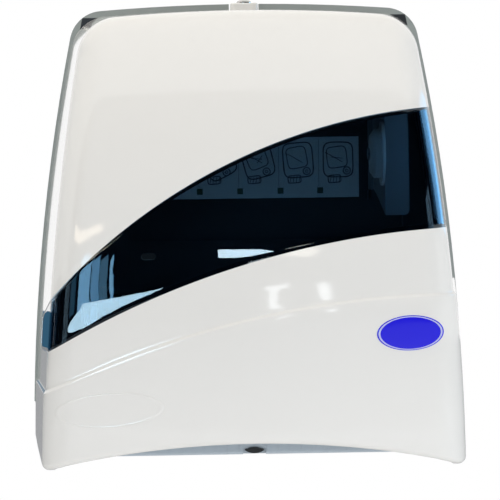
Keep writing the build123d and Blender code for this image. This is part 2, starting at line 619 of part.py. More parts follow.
def lens():
    """Lens-shaped face of the bumper, between two arcs."""
    with BuildSketch(Plane.XZ.offset(LENS_BACK)) as face:
        with BuildLine():
            ThreePointArc((-LENS_HALF, LENS_Z), (0, LENS_Z + LENS_RISE), (LENS_HALF, LENS_Z))
            ThreePointArc((LENS_HALF, LENS_Z), (0, LENS_Z - LENS_RISE), (-LENS_HALF, LENS_Z))
        make_face()
    return face.sketch


with BuildPart() as push_lever:
    slab(-LEVER_OUT, LEVER_OUT, BAR_BACK, BAR_FRONT, BAR_BOTTOM, BAR_TOP)
    fillet(push_lever.edges().filter_by(Axis.X), radius=BAR_ROUND)
    for index in range(-4, 4):
        slab(index * BAY + 1.2, (index + 1) * BAY - 1.2, BAR_BACK - PAST, BAR_FRONT - BAR_SHELL,
             BAR_BOTTOM + BAR_SHELL + 4, BAR_TOP - BAR_SHELL, mode=Mode.SUBTRACT)
    for side in (-1, 1):
        for index in range(12):
            x = side * (NOTCH + 1.8 + index * BAR_RIB_PITCH)
            slab(x - RIB_HALF, x + RIB_HALF, BAR_FRONT - 1, BAR_FRONT + BAR_RIB,
                 BAR_BOTTOM + BAR_ROUND, BAR_TOP - BAR_ROUND)
    for side in (-1, 1):
        middle = (-(PIVOT_DEPTH + ARM_FOOT_DEPTH) / 2, (PIVOT_Z + ARM_FOOT) / 2)
        length = math.hypot(PIVOT_DEPTH - ARM_FOOT_DEPTH, PIVOT_Z - ARM_FOOT)
        with BuildSketch(Plane.YZ.offset(side * LEVER_FACE)):
            with Locations(middle):
                SlotCenterToCenter(length, 2 * ARM_HALF, rotation=90 + math.degrees(ARM_LEAN))
        extrude(amount=side * LEVER_THICK)
        rod_x(PIVOT_PIN + RUNNING, side * (LEVER_FACE - PAST), side * (LEVER_OUT + PAST),
              PIVOT_DEPTH, PIVOT_Z, mode=Mode.SUBTRACT)
    slab(-NOTCH, NOTCH, LENS_BACK, BAR_FRONT + BAR_RIB + PAST, BAR_BOTTOM - PAST, LENS_Z + 1,
         mode=Mode.SUBTRACT)
    extrude(lens(), amount=LENS_FRONT - LENS_BACK + PAST, mode=Mode.SUBTRACT)
    for drop in GEAR_SCREW_DROPS:
        rod_x(GEAR_SCREW, LEVER_FACE - PAST, LEVER_OUT + PAST, GEAR_SCREW_DEPTH, PIVOT_Z - drop,
              mode=Mode.SUBTRACT)
save(push_lever, "push_lever")

with BuildPart() as lever_bumper:
    extrude(lens(), amount=LENS_FRONT - LENS_BACK)
save(lever_bumper, "lever_bumper")


# ---- gears -----------------------------------------------------------------------------------
def tooth(teeth, root, tip):
    """Corner points of one involute tooth, centred on the local X axis."""
    pitch = MODULE * teeth / 2
    base = pitch * math.cos(PRESSURE)
    start = math.pi / (2 * teeth) - BACKLASH / (4 * pitch) + math.tan(PRESSURE) - PRESSURE
    steps = 5
    flank = [(root - 0.6, start)]
    low = max(root, base)
    for index in range(steps + 1):
        radius = low + (tip - low) * index / steps
        roll = math.acos(min(1.0, base / radius))
        flank.append((radius, start - (math.tan(roll) - roll)))
    upper = [(r * math.cos(a), r * math.sin(a)) for r, a in flank]
    lower = [(x, -y) for x, y in reversed(upper)]
    return upper + lower


PINION_TIP = MODULE * (PINION_TEETH / 2 + 1)
SECTOR_TIP = MODULE * (SECTOR_TEETH / 2 + 0.68)
TIP_GAP = 0.4
PINION_ROOT = CENTRES - SECTOR_TIP - TIP_GAP
SECTOR_ROOT = CENTRES - PINION_TIP - TIP_GAP
PINION_ANGLE = 360 / PINION_TEETH
SECTOR_ANGLE = 360 / SECTOR_TEETH
CLUTCH_RADIUS = 5.5
SECTOR_COUNT = 8
SECTOR_FIRST = -CENTRES_ANGLE - (SECTOR_COUNT - 2) * SECTOR_ANGLE
WEDGE_LOW = math.radians(SECTOR_FIRST - 3)
WEDGE_HIGH = math.radians(SECTOR_FIRST + (SECTOR_COUNT - 1) * SECTOR_ANGLE + 3)
WEDGE_REACH = 2 * SECTOR_TIP
SECTOR_HUB = 11.0

with BuildPart() as pinion:
    with BuildSketch(Plane.YZ.offset(GEAR_FACE)):
        with Locations((-DRIVE_DEPTH, DRIVE_Z)):
            Circle(PINION_ROOT)
            with PolarLocations(0, PINION_TEETH, start_angle=180 - CENTRES_ANGLE + PINION_ANGLE / 2):
                Polygon(*tooth(PINION_TEETH, PINION_ROOT, PINION_TIP), align=None)
            Circle(CLUTCH_RADIUS, mode=Mode.SUBTRACT)
    extrude(amount=GEAR_THICK)
save(pinion, "pinion")

with BuildPart() as one_way_clutch:
    rod_x(CLUTCH_RADIUS, GEAR_FACE, GEAR_FACE + GEAR_THICK, DRIVE_DEPTH, DRIVE_Z)
    rod_x(SHAFT_END, GEAR_FACE - 1, GEAR_FACE + GEAR_THICK + 1, DRIVE_DEPTH, DRIVE_Z,
          mode=Mode.SUBTRACT)
save(one_way_clutch, "one_way_clutch")

with BuildPart() as sector_gear:
    with BuildSketch(Plane.YZ.offset(GEAR_FACE)):
        with Locations((-PIVOT_DEPTH, PIVOT_Z)):
            Circle(SECTOR_ROOT)
            with PolarLocations(0, SECTOR_COUNT, start_angle=SECTOR_FIRST,
                                angular_range=SECTOR_COUNT * SECTOR_ANGLE):
                Polygon(*tooth(SECTOR_TEETH, SECTOR_ROOT, SECTOR_TIP), align=None)
            Polygon((0, 0), (WEDGE_REACH * math.cos(WEDGE_LOW), WEDGE_REACH * math.sin(WEDGE_LOW)),
                    (WEDGE_REACH * math.cos(WEDGE_HIGH), WEDGE_REACH * math.sin(WEDGE_HIGH)),
                    align=None, mode=Mode.INTERSECT)
            Circle(SECTOR_HUB)
    extrude(amount=GEAR_THICK)
    rod_x(SECTOR_HUB, SECTOR_FACE, GEAR_FACE, PIVOT_DEPTH, PIVOT_Z)
    slab(SECTOR_FACE, GEAR_FACE + GEAR_THICK, PIVOT_DEPTH - 8, PIVOT_DEPTH + 5,
         PIVOT_Z - GEAR_SCREW_DROPS[1] - 6, PIVOT_Z)
    rod_x(PIVOT_PIN + RUNNING, SECTOR_FACE - PAST, GEAR_FACE + GEAR_THICK + PAST, PIVOT_DEPTH,
          PIVOT_Z, mode=Mode.SUBTRACT)
    for drop in GEAR_SCREW_DROPS:
        rod_x(GEAR_SCREW, SECTOR_FACE - PAST, GEAR_FACE + GEAR_THICK + PAST, GEAR_SCREW_DEPTH,
              PIVOT_Z - drop, mode=Mode.SUBTRACT)
save(sector_gear, "sector_gear")

SMALL_HEAD = 2.8
SMALL_HEAD_THICK = 1.6
with BuildPart() as sector_screws:
    for drop in GEAR_SCREW_DROPS:
        rod_x(GEAR_SCREW, LEVER_FACE + SEAT, GEAR_FACE + GEAR_THICK, GEAR_SCREW_DEPTH, PIVOT_Z - drop)
        rod_x(SMALL_HEAD, GEAR_FACE + GEAR_THICK, GEAR_FACE + GEAR_THICK + SMALL_HEAD_THICK,
              GEAR_SCREW_DEPTH, PIVOT_Z - drop)
save(sector_screws, "sector_screws")

# ---- lever pivots, their clips and the return spring -----------------------------------------
CLIP_FACE = GEAR_FACE + GEAR_THICK + SLIP
CLIP_THICK = 0.8
CLIP_RADIUS = 5.0
PIVOT_END = CLIP_FACE + CLIP_THICK + 0.4
with BuildPart() as pivot_pins:
    for side in (-1, 1):
        rod_x(PIVOT_PIN, side * FRAME_FACE, side * PIVOT_END, PIVOT_DEPTH, PIVOT_Z)
        rod_x(CLIP_RADIUS, side * (FRAME_FACE - 1.5), side * FRAME_FACE, PIVOT_DEPTH, PIVOT_Z)
save(pivot_pins, "pivot_pins")

with BuildPart() as pivot_clips:
    for side in (-1, 1):
        rod_x(CLIP_RADIUS, side * CLIP_FACE, side * (CLIP_FACE + CLIP_THICK), PIVOT_DEPTH, PIVOT_Z)
        rod_x(PIVOT_PIN, side * (CLIP_FACE - PAST), side * (CLIP_FACE + CLIP_THICK + PAST),
              PIVOT_DEPTH, PIVOT_Z, mode=Mode.SUBTRACT)
save(pivot_clips, "pivot_clips")

LEVER_COIL = 5.6
LEVER_WIRE = 1.2
with BuildPart() as lever_spring:
    add(coil((-(LEVER_OUT + 5.4), -PIVOT_DEPTH, PIVOT_Z), (1, 0, 0), LEVER_COIL, LEVER_WIRE, 4.4, 3))
save(lever_spring, "lever_spring")

# ---- gear cover: a flat cap on three posts ---------------------------------------------------
CAP_FACE = GEAR_FACE + GEAR_THICK + 3.0
CAP_THICK = 2.0
CAP_ROUND = 6.0
POST_RADIUS = 4.0
POST_SCREW = 1.5
POSTS = ((DRIVE_DEPTH - 10, PIVOT_Z + 7.4), (DRIVE_DEPTH, DRIVE_Z - 23),
         (PIVOT_DEPTH - 12.2, PIVOT_Z + 14.4))
CAP_OUTLINE = (
    (DRIVE_DEPTH - 18, PIVOT_Z + 15.4), (PIVOT_DEPTH - 4, PIVOT_Z + 21.4),
    (PIVOT_DEPTH + 14, PIVOT_Z + 5.4), (PIVOT_DEPTH + 14, PIVOT_Z - 16.6),
    (DRIVE_DEPTH + 46, DRIVE_Z - 23), (DRIVE_DEPTH, DRIVE_Z - 31), (DRIVE_DEPTH - 18, DRIVE_Z - 17))
with BuildPart() as gear_cover:
    with BuildSketch(Plane.YZ.offset(CAP_FACE)) as cap:
        Polygon(*[(-depth, z) for depth, z in CAP_OUTLINE], align=None)
        fillet(cap.vertices(), radius=CAP_ROUND)
    extrude(amount=CAP_THICK)
    for depth, height in POSTS:
        rod_x(POST_RADIUS, FRAME_OUT, CAP_FACE, depth, height)
        rod_x(POST_SCREW, FRAME_OUT + 4, CAP_FACE + CAP_THICK + PAST, depth, height,
              mode=Mode.SUBTRACT)
save(gear_cover, "gear_cover")

with BuildPart() as gear_cover_screws:
    for depth, height in POSTS:
        rod_x(POST_SCREW, FRAME_OUT + 4, CAP_FACE + CAP_THICK, depth, height)
        rod_x(SMALL_HEAD, CAP_FACE + CAP_THICK, CAP_FACE + CAP_THICK + SMALL_HEAD_THICK, depth, height)
save(gear_cover_screws, "gear_cover_screws")

# ---- roll arms -------------------------------------------------------------------------------
# Each arm swings outwards a little on an upright pin, against a spring, to let the roll in. A flange
# along its front edge faces the user.
COIL_LOW = ROLL_Z - 9.0
COIL_HIGH = ROLL_Z + 9.0
ARM_COIL = 3.2
ARM_WIRE = 1.2
WAIST_DEPTH = ROLL_DEPTH - 40.0
FLANGE_ROUND = 4.0
HOLE_RADIUS = 9.0
HOLE_DEPTHS = (ROLL_DEPTH - 65.0, ROLL_DEPTH - 38.0)
HUB_PIN = 3.0
for side, name in ((-1, "roll_arm_left"), (1, "roll_arm_right")):
    inner = side * ARM_FACE
    with BuildPart() as arm:
        with BuildSketch(Plane.YZ.offset(inner)) as web:
            Polygon((-ARM_PIVOT, ARM_LOW), (-ARM_PIVOT, ARM_HIGH), (-2 * ARM_PIVOT, ARM_HIGH),
                    (-WAIST_DEPTH, ARM_HIGH + 6), (-ARM_FRONT, FLANGE_HIGH), (-ARM_FRONT, FLANGE_LOW),
                    (-WAIST_DEPTH, ARM_LOW - 8), (-2 * ARM_PIVOT, ARM_LOW), align=None)
        extrude(amount=side * ARM_THICK)
        with BuildSketch(Plane.XZ.offset(ARM_FRONT - ARM_THICK)) as flange:
            with Locations((inner + side * FLANGE_OUT / 2, (FLANGE_LOW + FLANGE_HIGH) / 2)):
                Rectangle(FLANGE_OUT, FLANGE_HIGH - FLANGE_LOW)
            fillet(flange.vertices(), radius=FLANGE_ROUND)
        extrude(amount=ARM_THICK)
        rod_z(KNUCKLE, ARM_LOW, ARM_HIGH, side * ARM_X, ARM_PIVOT)
        slab(side * ARM_X - KNUCKLE - 1, side * ARM_X + KNUCKLE + 1, ARM_PIVOT - KNUCKLE - 1,
             ARM_PIVOT + KNUCKLE + 2, COIL_LOW - 1, COIL_HIGH + 1, mode=Mode.SUBTRACT)
        rod_z(ARM_PIN + RUNNING, ARM_LOW - PAST, ARM_HIGH + PAST, side * ARM_X, ARM_PIVOT,
              mode=Mode.SUBTRACT)
        rod_x(HUB_PIN, inner - side * PAST, inner + side * (ARM_THICK + PAST), ROLL_DEPTH, ROLL_Z,
              mode=Mode.SUBTRACT)
        for hole_depth in HOLE_DEPTHS:
            rod_x(HOLE_RADIUS, inner - side * PAST, inner + side * (ARM_THICK + PAST), hole_depth,
                  ROLL_Z, mode=Mode.SUBTRACT)
    save(arm, name)

with BuildPart() as arm_pins:
    for side in (-1, 1):
        rod_z(ARM_PIN, ARM_LOW - KNUCKLE_LENGTH, ARM_HIGH + KNUCKLE_LENGTH, side * ARM_X, ARM_PIVOT)
        rod_z(1.6 * ARM_PIN, ARM_HIGH + KNUCKLE_LENGTH, ARM_HIGH + KNUCKLE_LENGTH + 1.5,
              side * ARM_X, ARM_PIVOT)
save(arm_pins, "arm_pins")

with BuildPart() as arm_springs:
    for side in (-1, 1):
        add(coil((side * ARM_X, -ARM_PIVOT, COIL_LOW + 1.5), (0, 0, 1), ARM_COIL, ARM_WIRE,
                 COIL_HIGH - COIL_LOW - 3, 6))
save(arm_springs, "arm_springs")

HUB_FACE = ARM_FACE - SLIP
DISC_THICK = 2.0
PLUG_RADIUS = CORE_BORE / 2 - 0.7
PLUG_NOSE = 3.0           # length of the plug's tapered nose
PLUG_TAPER = 4.0
CELL_RADIUS = 2.6
CELL_RING = 10.2
PIN_INNER = HUB_FACE - DISC_THICK - HUB_PLUG - SLIP
for side, name in ((-1, "left"), (1, "right")):
    plane = Plane(origin=(side * HUB_FACE, -ROLL_DEPTH, ROLL_Z), x_dir=(-side, 0, 0),
                  z_dir=(0, -1, 0))
    with BuildPart() as hub:
        with BuildSketch(plane):
            with BuildLine():
                Polyline((0, HUB_PIN + RUNNING), (0, HUB_DISC), (DISC_THICK, HUB_DISC),
                         (DISC_THICK, PLUG_RADIUS), (DISC_THICK + HUB_PLUG - PLUG_NOSE, PLUG_RADIUS),
                         (DISC_THICK + HUB_PLUG, PLUG_RADIUS - PLUG_TAPER),
                         (DISC_THICK + HUB_PLUG, HUB_PIN + RUNNING), close=True)
            make_face()
        revolve(axis=Axis((0, -ROLL_DEPTH, ROLL_Z), (1, 0, 0)))
        end = side * (HUB_FACE - DISC_THICK - HUB_PLUG)
        with BuildSketch(Plane(origin=(end, -ROLL_DEPTH, ROLL_Z), z_dir=(side, 0, 0))):
            with PolarLocations(CELL_RING, 8):
                Circle(CELL_RADIUS)
        extrude(amount=HUB_PLUG - 1, mode=Mode.SUBTRACT)
    save(hub, f"core_hub_{name}")
    with BuildPart() as pin:
        rod_x(HUB_PIN, side * PIN_INNER, side * (ARM_FACE + ARM_THICK), ROLL_DEPTH, ROLL_Z)
        rod_x(HUB_PIN + 1.6, side * PIN_INNER, side * (PIN_INNER - 1.5), ROLL_DEPTH, ROLL_Z)
        rod_x(HUB_PIN + 2.2, side * (ARM_FACE + ARM_THICK), side * (ARM_FACE + ARM_THICK + 1.6),
              ROLL_DEPTH, ROLL_Z)
    save(pin, f"hub_pin_{name}")

# ---- front cover -----------------------------------------------------------------------------
# One glossy moulding: an upper skin, a lower panel that stands proud below a curved crease, a rolled
# lip, an opening for the window, a lock housing and two hinge lugs.
LIP_ROUND = 6.0
EXIT_HIGH = RELIEF_Z + 6.0
HOUSING_BACK = LOCK_DEPTH - 13.0
HOUSING_FRONT = LOCK_DEPTH + 12.0
LUG_IN = HINGE_X + BRACKET_WIDTH + 0.5
LUG_OUT = WIDEST - 3.5
with BuildPart() as lower_panel:
    add(envelope(-PANEL_STEP))
    add(reach_below(CREASE), mode=Mode.INTERSECT)

with BuildPart() as lower_hollow:
    add(envelope(COVER_WALL - PANEL_STEP))
    add(reach_below(grown(CREASE, -COVER_WALL)), mode=Mode.INTERSECT)

with BuildPart() as hollow:
    add(envelope(COVER_WALL))
    add(lower_hollow.part)
    add(reach_below(grown(LIP, LIP_FLOOR)), mode=Mode.SUBTRACT)

with BuildPart() as exit_hole:
    add(envelope(LIP_RETURN, FRONT_ROUND + LIP_RETURN))
    slab(-WIDEST, WIDEST, 0, LOFT_DEPTH, SKIRT_Z - PAST, EXIT_HIGH, mode=Mode.INTERSECT)

with BuildPart() as front_cover:
    add(envelope(0))
    add(lower_panel.part)
    add(reach_below(LIP), mode=Mode.SUBTRACT)
    foot = front_cover.faces().filter_by_position(Axis.X, -PAST, PAST).sort_by(Axis.Z)[0]
    fillet(foot.edges().sort_by(Axis.Y)[:-1], radius=LIP_ROUND)
    add(hollow.part, mode=Mode.SUBTRACT)
    add(exit_hole.part, mode=Mode.SUBTRACT)
    slab(-WIDEST - PAST, WIDEST + PAST, -PAST, COVER_BACK, SKIRT_Z, PLATE_TOP + PAST,
         mode=Mode.SUBTRACT)
    slab(-WIDEST - PAST, WIDEST + PAST, 0, HINGE_DEPTH, SKIRT_Z, RELIEF_Z, mode=Mode.SUBTRACT)
    add(window_band(0, WINDOW_BACK), mode=Mode.SUBTRACT)
    # lock housing through the top wall
    slab(-LOCK_WIDTH, LOCK_WIDTH, HOUSING_BACK, HOUSING_FRONT, LOCK_FLOOR, LOCK_TOP)
    rod_z(LOCK_RADIUS + RUNNING, LOCK_FLOOR - PAST, LOCK_TOP + PAST, 0, LOCK_DEPTH,
          mode=Mode.SUBTRACT)
    # hinge lugs
    for side in (-1, 1):
        rod_x(HINGE_LUG, side * LUG_IN, side * LUG_OUT, HINGE_DEPTH, HINGE_Z)
        rod_x(HINGE_PIN + RUNNING, side * (LUG_IN - PAST), side * (LUG_OUT - 2.5), HINGE_DEPTH,
              HINGE_Z, mode=Mode.SUBTRACT)
save(front_cover, "front_cover")

with BuildPart() as hinge_pins:
    for side in (-1, 1):
        rod_x(HINGE_PIN, side * (HINGE_X - 1), side * (LUG_OUT - 2.5 - SLIP), HINGE_DEPTH, HINGE_Z)
        rod_x(1.5 * HINGE_PIN, side * (HINGE_X - 2.5), side * (HINGE_X - 0.1), HINGE_DEPTH, HINGE_Z)
save(hinge_pins, "hinge_pins")

# ---- window: smoked lens set into the cover from inside, on a flange -------------------------
FRAME_INSET = COVER_WALL + 0.1
FRAME_WALL = 1.8
with BuildPart() as lens_skin:
    add(envelope(SLIP))
    add(envelope(FRAME_INSET), mode=Mode.SUBTRACT)
    add(window_band(-SEAT, WINDOW_BACK + SEAT), mode=Mode.INTERSECT)

with BuildPart() as window:
    add(envelope(FRAME_INSET))
    add(envelope(FRAME_INSET + FRAME_WALL), mode=Mode.SUBTRACT)
    add(window_band(WINDOW_FLANGE, WINDOW_BACK - WINDOW_FLANGE), mode=Mode.INTERSECT)
    add(lens_skin.part)
save(window, "window")

# ---- badge: a plain oval plate stuck to the lower panel --------------------------------------
BADGE_SIDE = 66.6          # from the badge's middle to the plate's widest point
BADGE_X = WIDEST - BADGE_SIDE
BADGE_Z = -74.4
BADGE_HALF = 23.5
BADGE_RISE = 12.2
BADGE_THICK = 0.8
BADGE_LEAN = 1.5
with BuildPart() as badge_blank:
    with BuildSketch(Plane.XZ.offset(BAR_BACK)):
        with Locations((BADGE_X, BADGE_Z)):
            Ellipse(BADGE_HALF, BADGE_RISE, rotation=BADGE_LEAN)
    extrude(amount=FRONT_CUT - BAR_BACK)

with BuildPart() as cover_badge:
    add(envelope(-PANEL_STEP - BADGE_THICK))
    add(envelope(-PANEL_STEP), mode=Mode.SUBTRACT)
    add(badge_blank.part, mode=Mode.INTERSECT)
save(cover_badge, "cover_badge")

# ---- lock: barrel turned by a key from above, with a cam whose tooth turns behind the keeper ---
DOME_ROUND = 2.2
KEY_SLOT = 0.8
CAM_SCREW = 1.5
CAM_SCREW_LENGTH = 8.0
CAM_HALF = 2.5
TOOTH_IN = CAM_REACH - 1.3
TOOTH_OUT = CAM_REACH + 1.4
TOOTH_LENGTH = 6.5
with BuildPart() as lock_barrel:
    rod_z(LOCK_RADIUS, CAM_Z + CAM_THICK, LOCK_DOME, 0, LOCK_DEPTH)
    fillet(lock_barrel.edges().sort_by(Axis.Z)[-1], radius=DOME_ROUND)
    slab(-KEY_SLOT, KEY_SLOT, LOCK_DEPTH - 3, LOCK_DEPTH + 3, LOCK_DOME - 6, LOCK_DOME + PAST,
         mode=Mode.SUBTRACT)
    rod_z(CAM_SCREW, CAM_Z - PAST, CAM_Z + CAM_SCREW_LENGTH + 1, 0, LOCK_DEPTH, mode=Mode.SUBTRACT)
save(lock_barrel, "lock_barrel")

with BuildPart() as lock_cam:
    rod_z(LOCK_RADIUS + 1.5, CAM_Z, CAM_Z + CAM_THICK, 0, LOCK_DEPTH)
    slab(0, TOOTH_OUT, LOCK_DEPTH - CAM_HALF, LOCK_DEPTH + CAM_HALF, CAM_Z, CAM_Z + CAM_THICK)
    slab(TOOTH_IN, TOOTH_OUT, LOCK_DEPTH - CAM_HALF, LOCK_DEPTH + CAM_HALF, CAM_Z - TOOTH_LENGTH,
         CAM_Z)
    rod_z(CAM_SCREW, CAM_Z - PAST, CAM_Z + CAM_THICK + PAST, 0, LOCK_DEPTH, mode=Mode.SUBTRACT)
save(lock_cam, "lock_cam")

with BuildPart() as cam_screw:
    rod_z(CAM_SCREW, CAM_Z, CAM_Z + CAM_SCREW_LENGTH, 0, LOCK_DEPTH)
    rod_z(SMALL_HEAD, CAM_Z - SMALL_HEAD_THICK, CAM_Z, 0, LOCK_DEPTH)
save(cam_screw, "cam_screw")
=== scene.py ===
import math
import bmesh
import bpy
import numpy as np
from mathutils import Matrix, Vector


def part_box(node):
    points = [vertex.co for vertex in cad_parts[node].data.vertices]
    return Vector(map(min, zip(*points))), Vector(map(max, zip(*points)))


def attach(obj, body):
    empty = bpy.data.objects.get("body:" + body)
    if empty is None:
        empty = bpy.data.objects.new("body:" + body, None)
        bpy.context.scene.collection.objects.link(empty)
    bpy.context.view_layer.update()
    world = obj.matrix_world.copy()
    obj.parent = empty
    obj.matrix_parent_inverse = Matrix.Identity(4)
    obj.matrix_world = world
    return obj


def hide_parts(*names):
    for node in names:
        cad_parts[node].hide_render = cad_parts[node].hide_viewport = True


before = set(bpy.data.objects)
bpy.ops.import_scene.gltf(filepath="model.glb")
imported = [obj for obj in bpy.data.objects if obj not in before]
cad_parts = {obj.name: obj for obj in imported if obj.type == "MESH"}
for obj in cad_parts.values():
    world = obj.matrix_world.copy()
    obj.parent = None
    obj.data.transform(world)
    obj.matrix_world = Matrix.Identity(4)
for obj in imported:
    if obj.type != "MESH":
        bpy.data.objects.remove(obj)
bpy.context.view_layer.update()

# ======== viewpoint ========
# A long lens, level with the dispenser's middle and a little left of it, as a person sees it on a
# washroom wall. The lean is that of a camera held in the hand.
EYE, AIM = (-0.025, -1.5, 0.042), (0.00248, 0.0, -0.02602)
HALF_PICTURE, FOCAL_LENGTH = 250, 1845  # in pixels of a picture 500 wide
LEAN = math.radians(0.79)


def linked(name, data):
    """Object of a name and data, linked into the scene."""
    thing = bpy.data.objects.new(name, data)
    bpy.context.scene.collection.objects.link(thing)
    return thing


camera_data = bpy.data.cameras.new("camera")
camera_data.sensor_fit = "HORIZONTAL"
camera_data.angle = 2 * math.atan(HALF_PICTURE / FOCAL_LENGTH)
camera = linked("camera", camera_data)
sight = Vector(AIM) - Vector(EYE)
camera.matrix_world = (Matrix.Translation(EYE) @ sight.to_track_quat("-Z", "Y").to_matrix().to_4x4()
                       @ Matrix.Rotation(-LEAN, 4, "Z"))
bpy.context.scene.camera = camera
bpy.context.scene.view_settings.view_transform = "Standard"

# ======== wall plate ========
# The back of the dispenser: a flat grey injection moulding in ABS with a fine spark-eroded texture, screwed
# to the wall. It carries the roll arms, the feed module and the hinge. Inside the cover its colour is painted
# near black as shade, and its grey edge shows round the cover. Sizes here and below are in millimetres.
WIDEST, SIDE_RADIUS, WIDEST_Z, PLATE_TOP = 175.0, 1683.0, -194.0, 172.8
PLATE_GREY, PLATE_PAINTED_SHADE, DUST = (0.33, 0.36, 0.35), (0.03, 0.033, 0.038), (0.5, 0.49, 0.46)
INSIDE_HALF, INSIDE_TOP, PLATE_FACE = 168.0, 163.0, 2.5


def group_of(name, inputs, outputs):
    """Empty node group with float inputs, given as (name, value), and float outputs, given by name."""
    group = bpy.data.node_groups.new(name, "ShaderNodeTree")
    for label, value in inputs:
        socket = group.interface.new_socket(label, in_out="INPUT", socket_type="NodeSocketFloat")
        socket.default_value = value
    for label in outputs:
        group.interface.new_socket(label, in_out="OUTPUT", socket_type="NodeSocketFloat")
    return group, group.nodes.new("NodeGroupInput"), group.nodes.new("NodeGroupOutput")


def wire(node, **links):
    """Node with its inputs set to values or linked to sockets, by name, with underscores for spaces, or by
    number after an underscore."""
    for label, value in links.items():
        socket = node.inputs[int(label[1:])] if label[0] == "_" else node.inputs[label.replace("_", " ")]
        if isinstance(value, bpy.types.NodeSocket):
            node.id_data.links.new(value, socket)
        else:
            socket.default_value = value
    return node


def add_node(tree, kind, settings=(), **links):
    """New node of a kind, with settings as (attribute, value) pairs and its inputs wired."""
    node = tree.nodes.new(kind)
    for attribute, value in settings:
        setattr(node, attribute, value)
    return wire(node, **links)


def calculate(tree, operation, *values, clamp=False):
    """Result of a Math node: an operation on numbers or sockets, kept between 0 and 1 where clamped."""
    inputs = {f"_{index}": value for index, value in enumerate(values)}
    return add_node(tree, "ShaderNodeMath", [("operation", operation), ("use_clamp", clamp)],
                    **inputs).outputs[0]


def mixed(tree, share, first, second):
    """Result of a colour mix: the first colour or socket at share 0, the second at share 1."""
    return add_node(tree, "ShaderNodeMix", [("data_type", "RGBA")], Factor=share, _6=first,
                    _7=second).outputs[2]


def noise(tree, place, scale, **settings):
    """Value of a noise texture at a place, repeating about scale times a metre."""
    return add_node(tree, "ShaderNodeTexNoise", Vector=place, Scale=scale, **settings).outputs["Fac"]


def object_place(tree):
    """Place on the object, in metres."""
    return add_node(tree, "ShaderNodeTexCoord").outputs["Object"]


# Moulded surface: fine grain for the bump, broad mottling and faint streaks of handling.
moulded, given, gives = group_of("moulded_surface", (("Grain per metre", 1500.0), ("Mottle per metre", 12.0)),
                                 ("Grain", "Mottle", "Smears"))
place = object_place(moulded)
streaks = add_node(moulded, "ShaderNodeMapping", Vector=place, Rotation=(0.0, 0.5, 0.2),
                   Scale=(1.0, 1.0, 0.22))
smears = noise(moulded, streaks.outputs[0], 55.0, Detail=5.0, Roughness=0.65, Distortion=0.6)
smear_mask = add_node(moulded, "ShaderNodeMapRange", Value=smears, From_Min=0.5, From_Max=0.75)
wire(gives, Grain=noise(moulded, place, given.outputs[0], Detail=2.0, Roughness=0.6),
     Mottle=noise(moulded, place, given.outputs[1], Detail=4.0, Roughness=0.55), Smears=smear_mask.outputs[0])

# Dust: gathers on faces that look upwards, in patches.
dust, given, gives = group_of("settled_dust", (("Amount", 0.3),), ("Mask",))
facing = add_node(dust, "ShaderNodeSeparateXYZ",
                  Vector=add_node(dust, "ShaderNodeNewGeometry").outputs["Normal"])
level_face = add_node(dust, "ShaderNodeMapRange", Value=facing.outputs["Z"], From_Min=0.25, From_Max=1.0)
patches = noise(dust, object_place(dust), 90.0, Detail=6.0, Roughness=0.7)
patch_mask = add_node(dust, "ShaderNodeMapRange", Value=patches, From_Min=0.35, From_Max=0.7)
settled = calculate(dust, "MULTIPLY", level_face.outputs[0], patch_mask.outputs[0])
wire(gives, Mask=calculate(dust, "MULTIPLY", settled, given.outputs[0]))


def new_material(name):
    """Material of a name, with its node tree and its shader."""
    material = bpy.data.materials.new(name)
    material.use_nodes = True
    return material, material.node_tree, material.node_tree.nodes["Principled BSDF"]


def plastic(name, colour, roughness, grain_size=0.7, grain_depth=0.02, mottle=0.05, dusty=0.2, smeared=0.05,
            coat=0.0, gloss=0.5):
    """Moulded plastic: colour (linear), roughness, and its grain's size and depth in millimetres. Mottling
    darkens it by a share, dust pales what faces up, and smears from hands roughen it a little."""
    material, tree, shader = new_material(name)
    surface = add_node(tree, "ShaderNodeGroup", [("node_tree", moulded)], Grain_per_metre=1000.0 / grain_size)
    dusting = add_node(tree, "ShaderNodeGroup", [("node_tree", dust)], Amount=dusty).outputs["Mask"]
    darker = [channel * (1 - 2 * mottle) for channel in colour]
    shaded = mixed(tree, surface.outputs["Mottle"], (*colour, 1), (*darker, 1))
    rough = calculate(tree, "MULTIPLY_ADD", surface.outputs["Smears"], smeared, roughness)
    rougher = calculate(tree, "MULTIPLY_ADD", dusting, 0.5, rough, clamp=True)
    bump = add_node(tree, "ShaderNodeBump", Strength=1.0, Distance=grain_depth / 1000,
                    Height=surface.outputs["Grain"])
    wire(shader, Base_Color=mixed(tree, dusting, shaded, (*DUST, 1)), Roughness=rougher,
         Normal=bump.outputs[0], IOR=1.5, Specular_IOR_Level=gloss, Coat_Weight=coat, Coat_Roughness=0.04)
    return material


def finish(material, *names):
    """Gives the named CAD nodes this material in every slot."""
    for name in names:
        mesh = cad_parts[name].data
        mesh.materials.clear()
        mesh.materials.append(material)
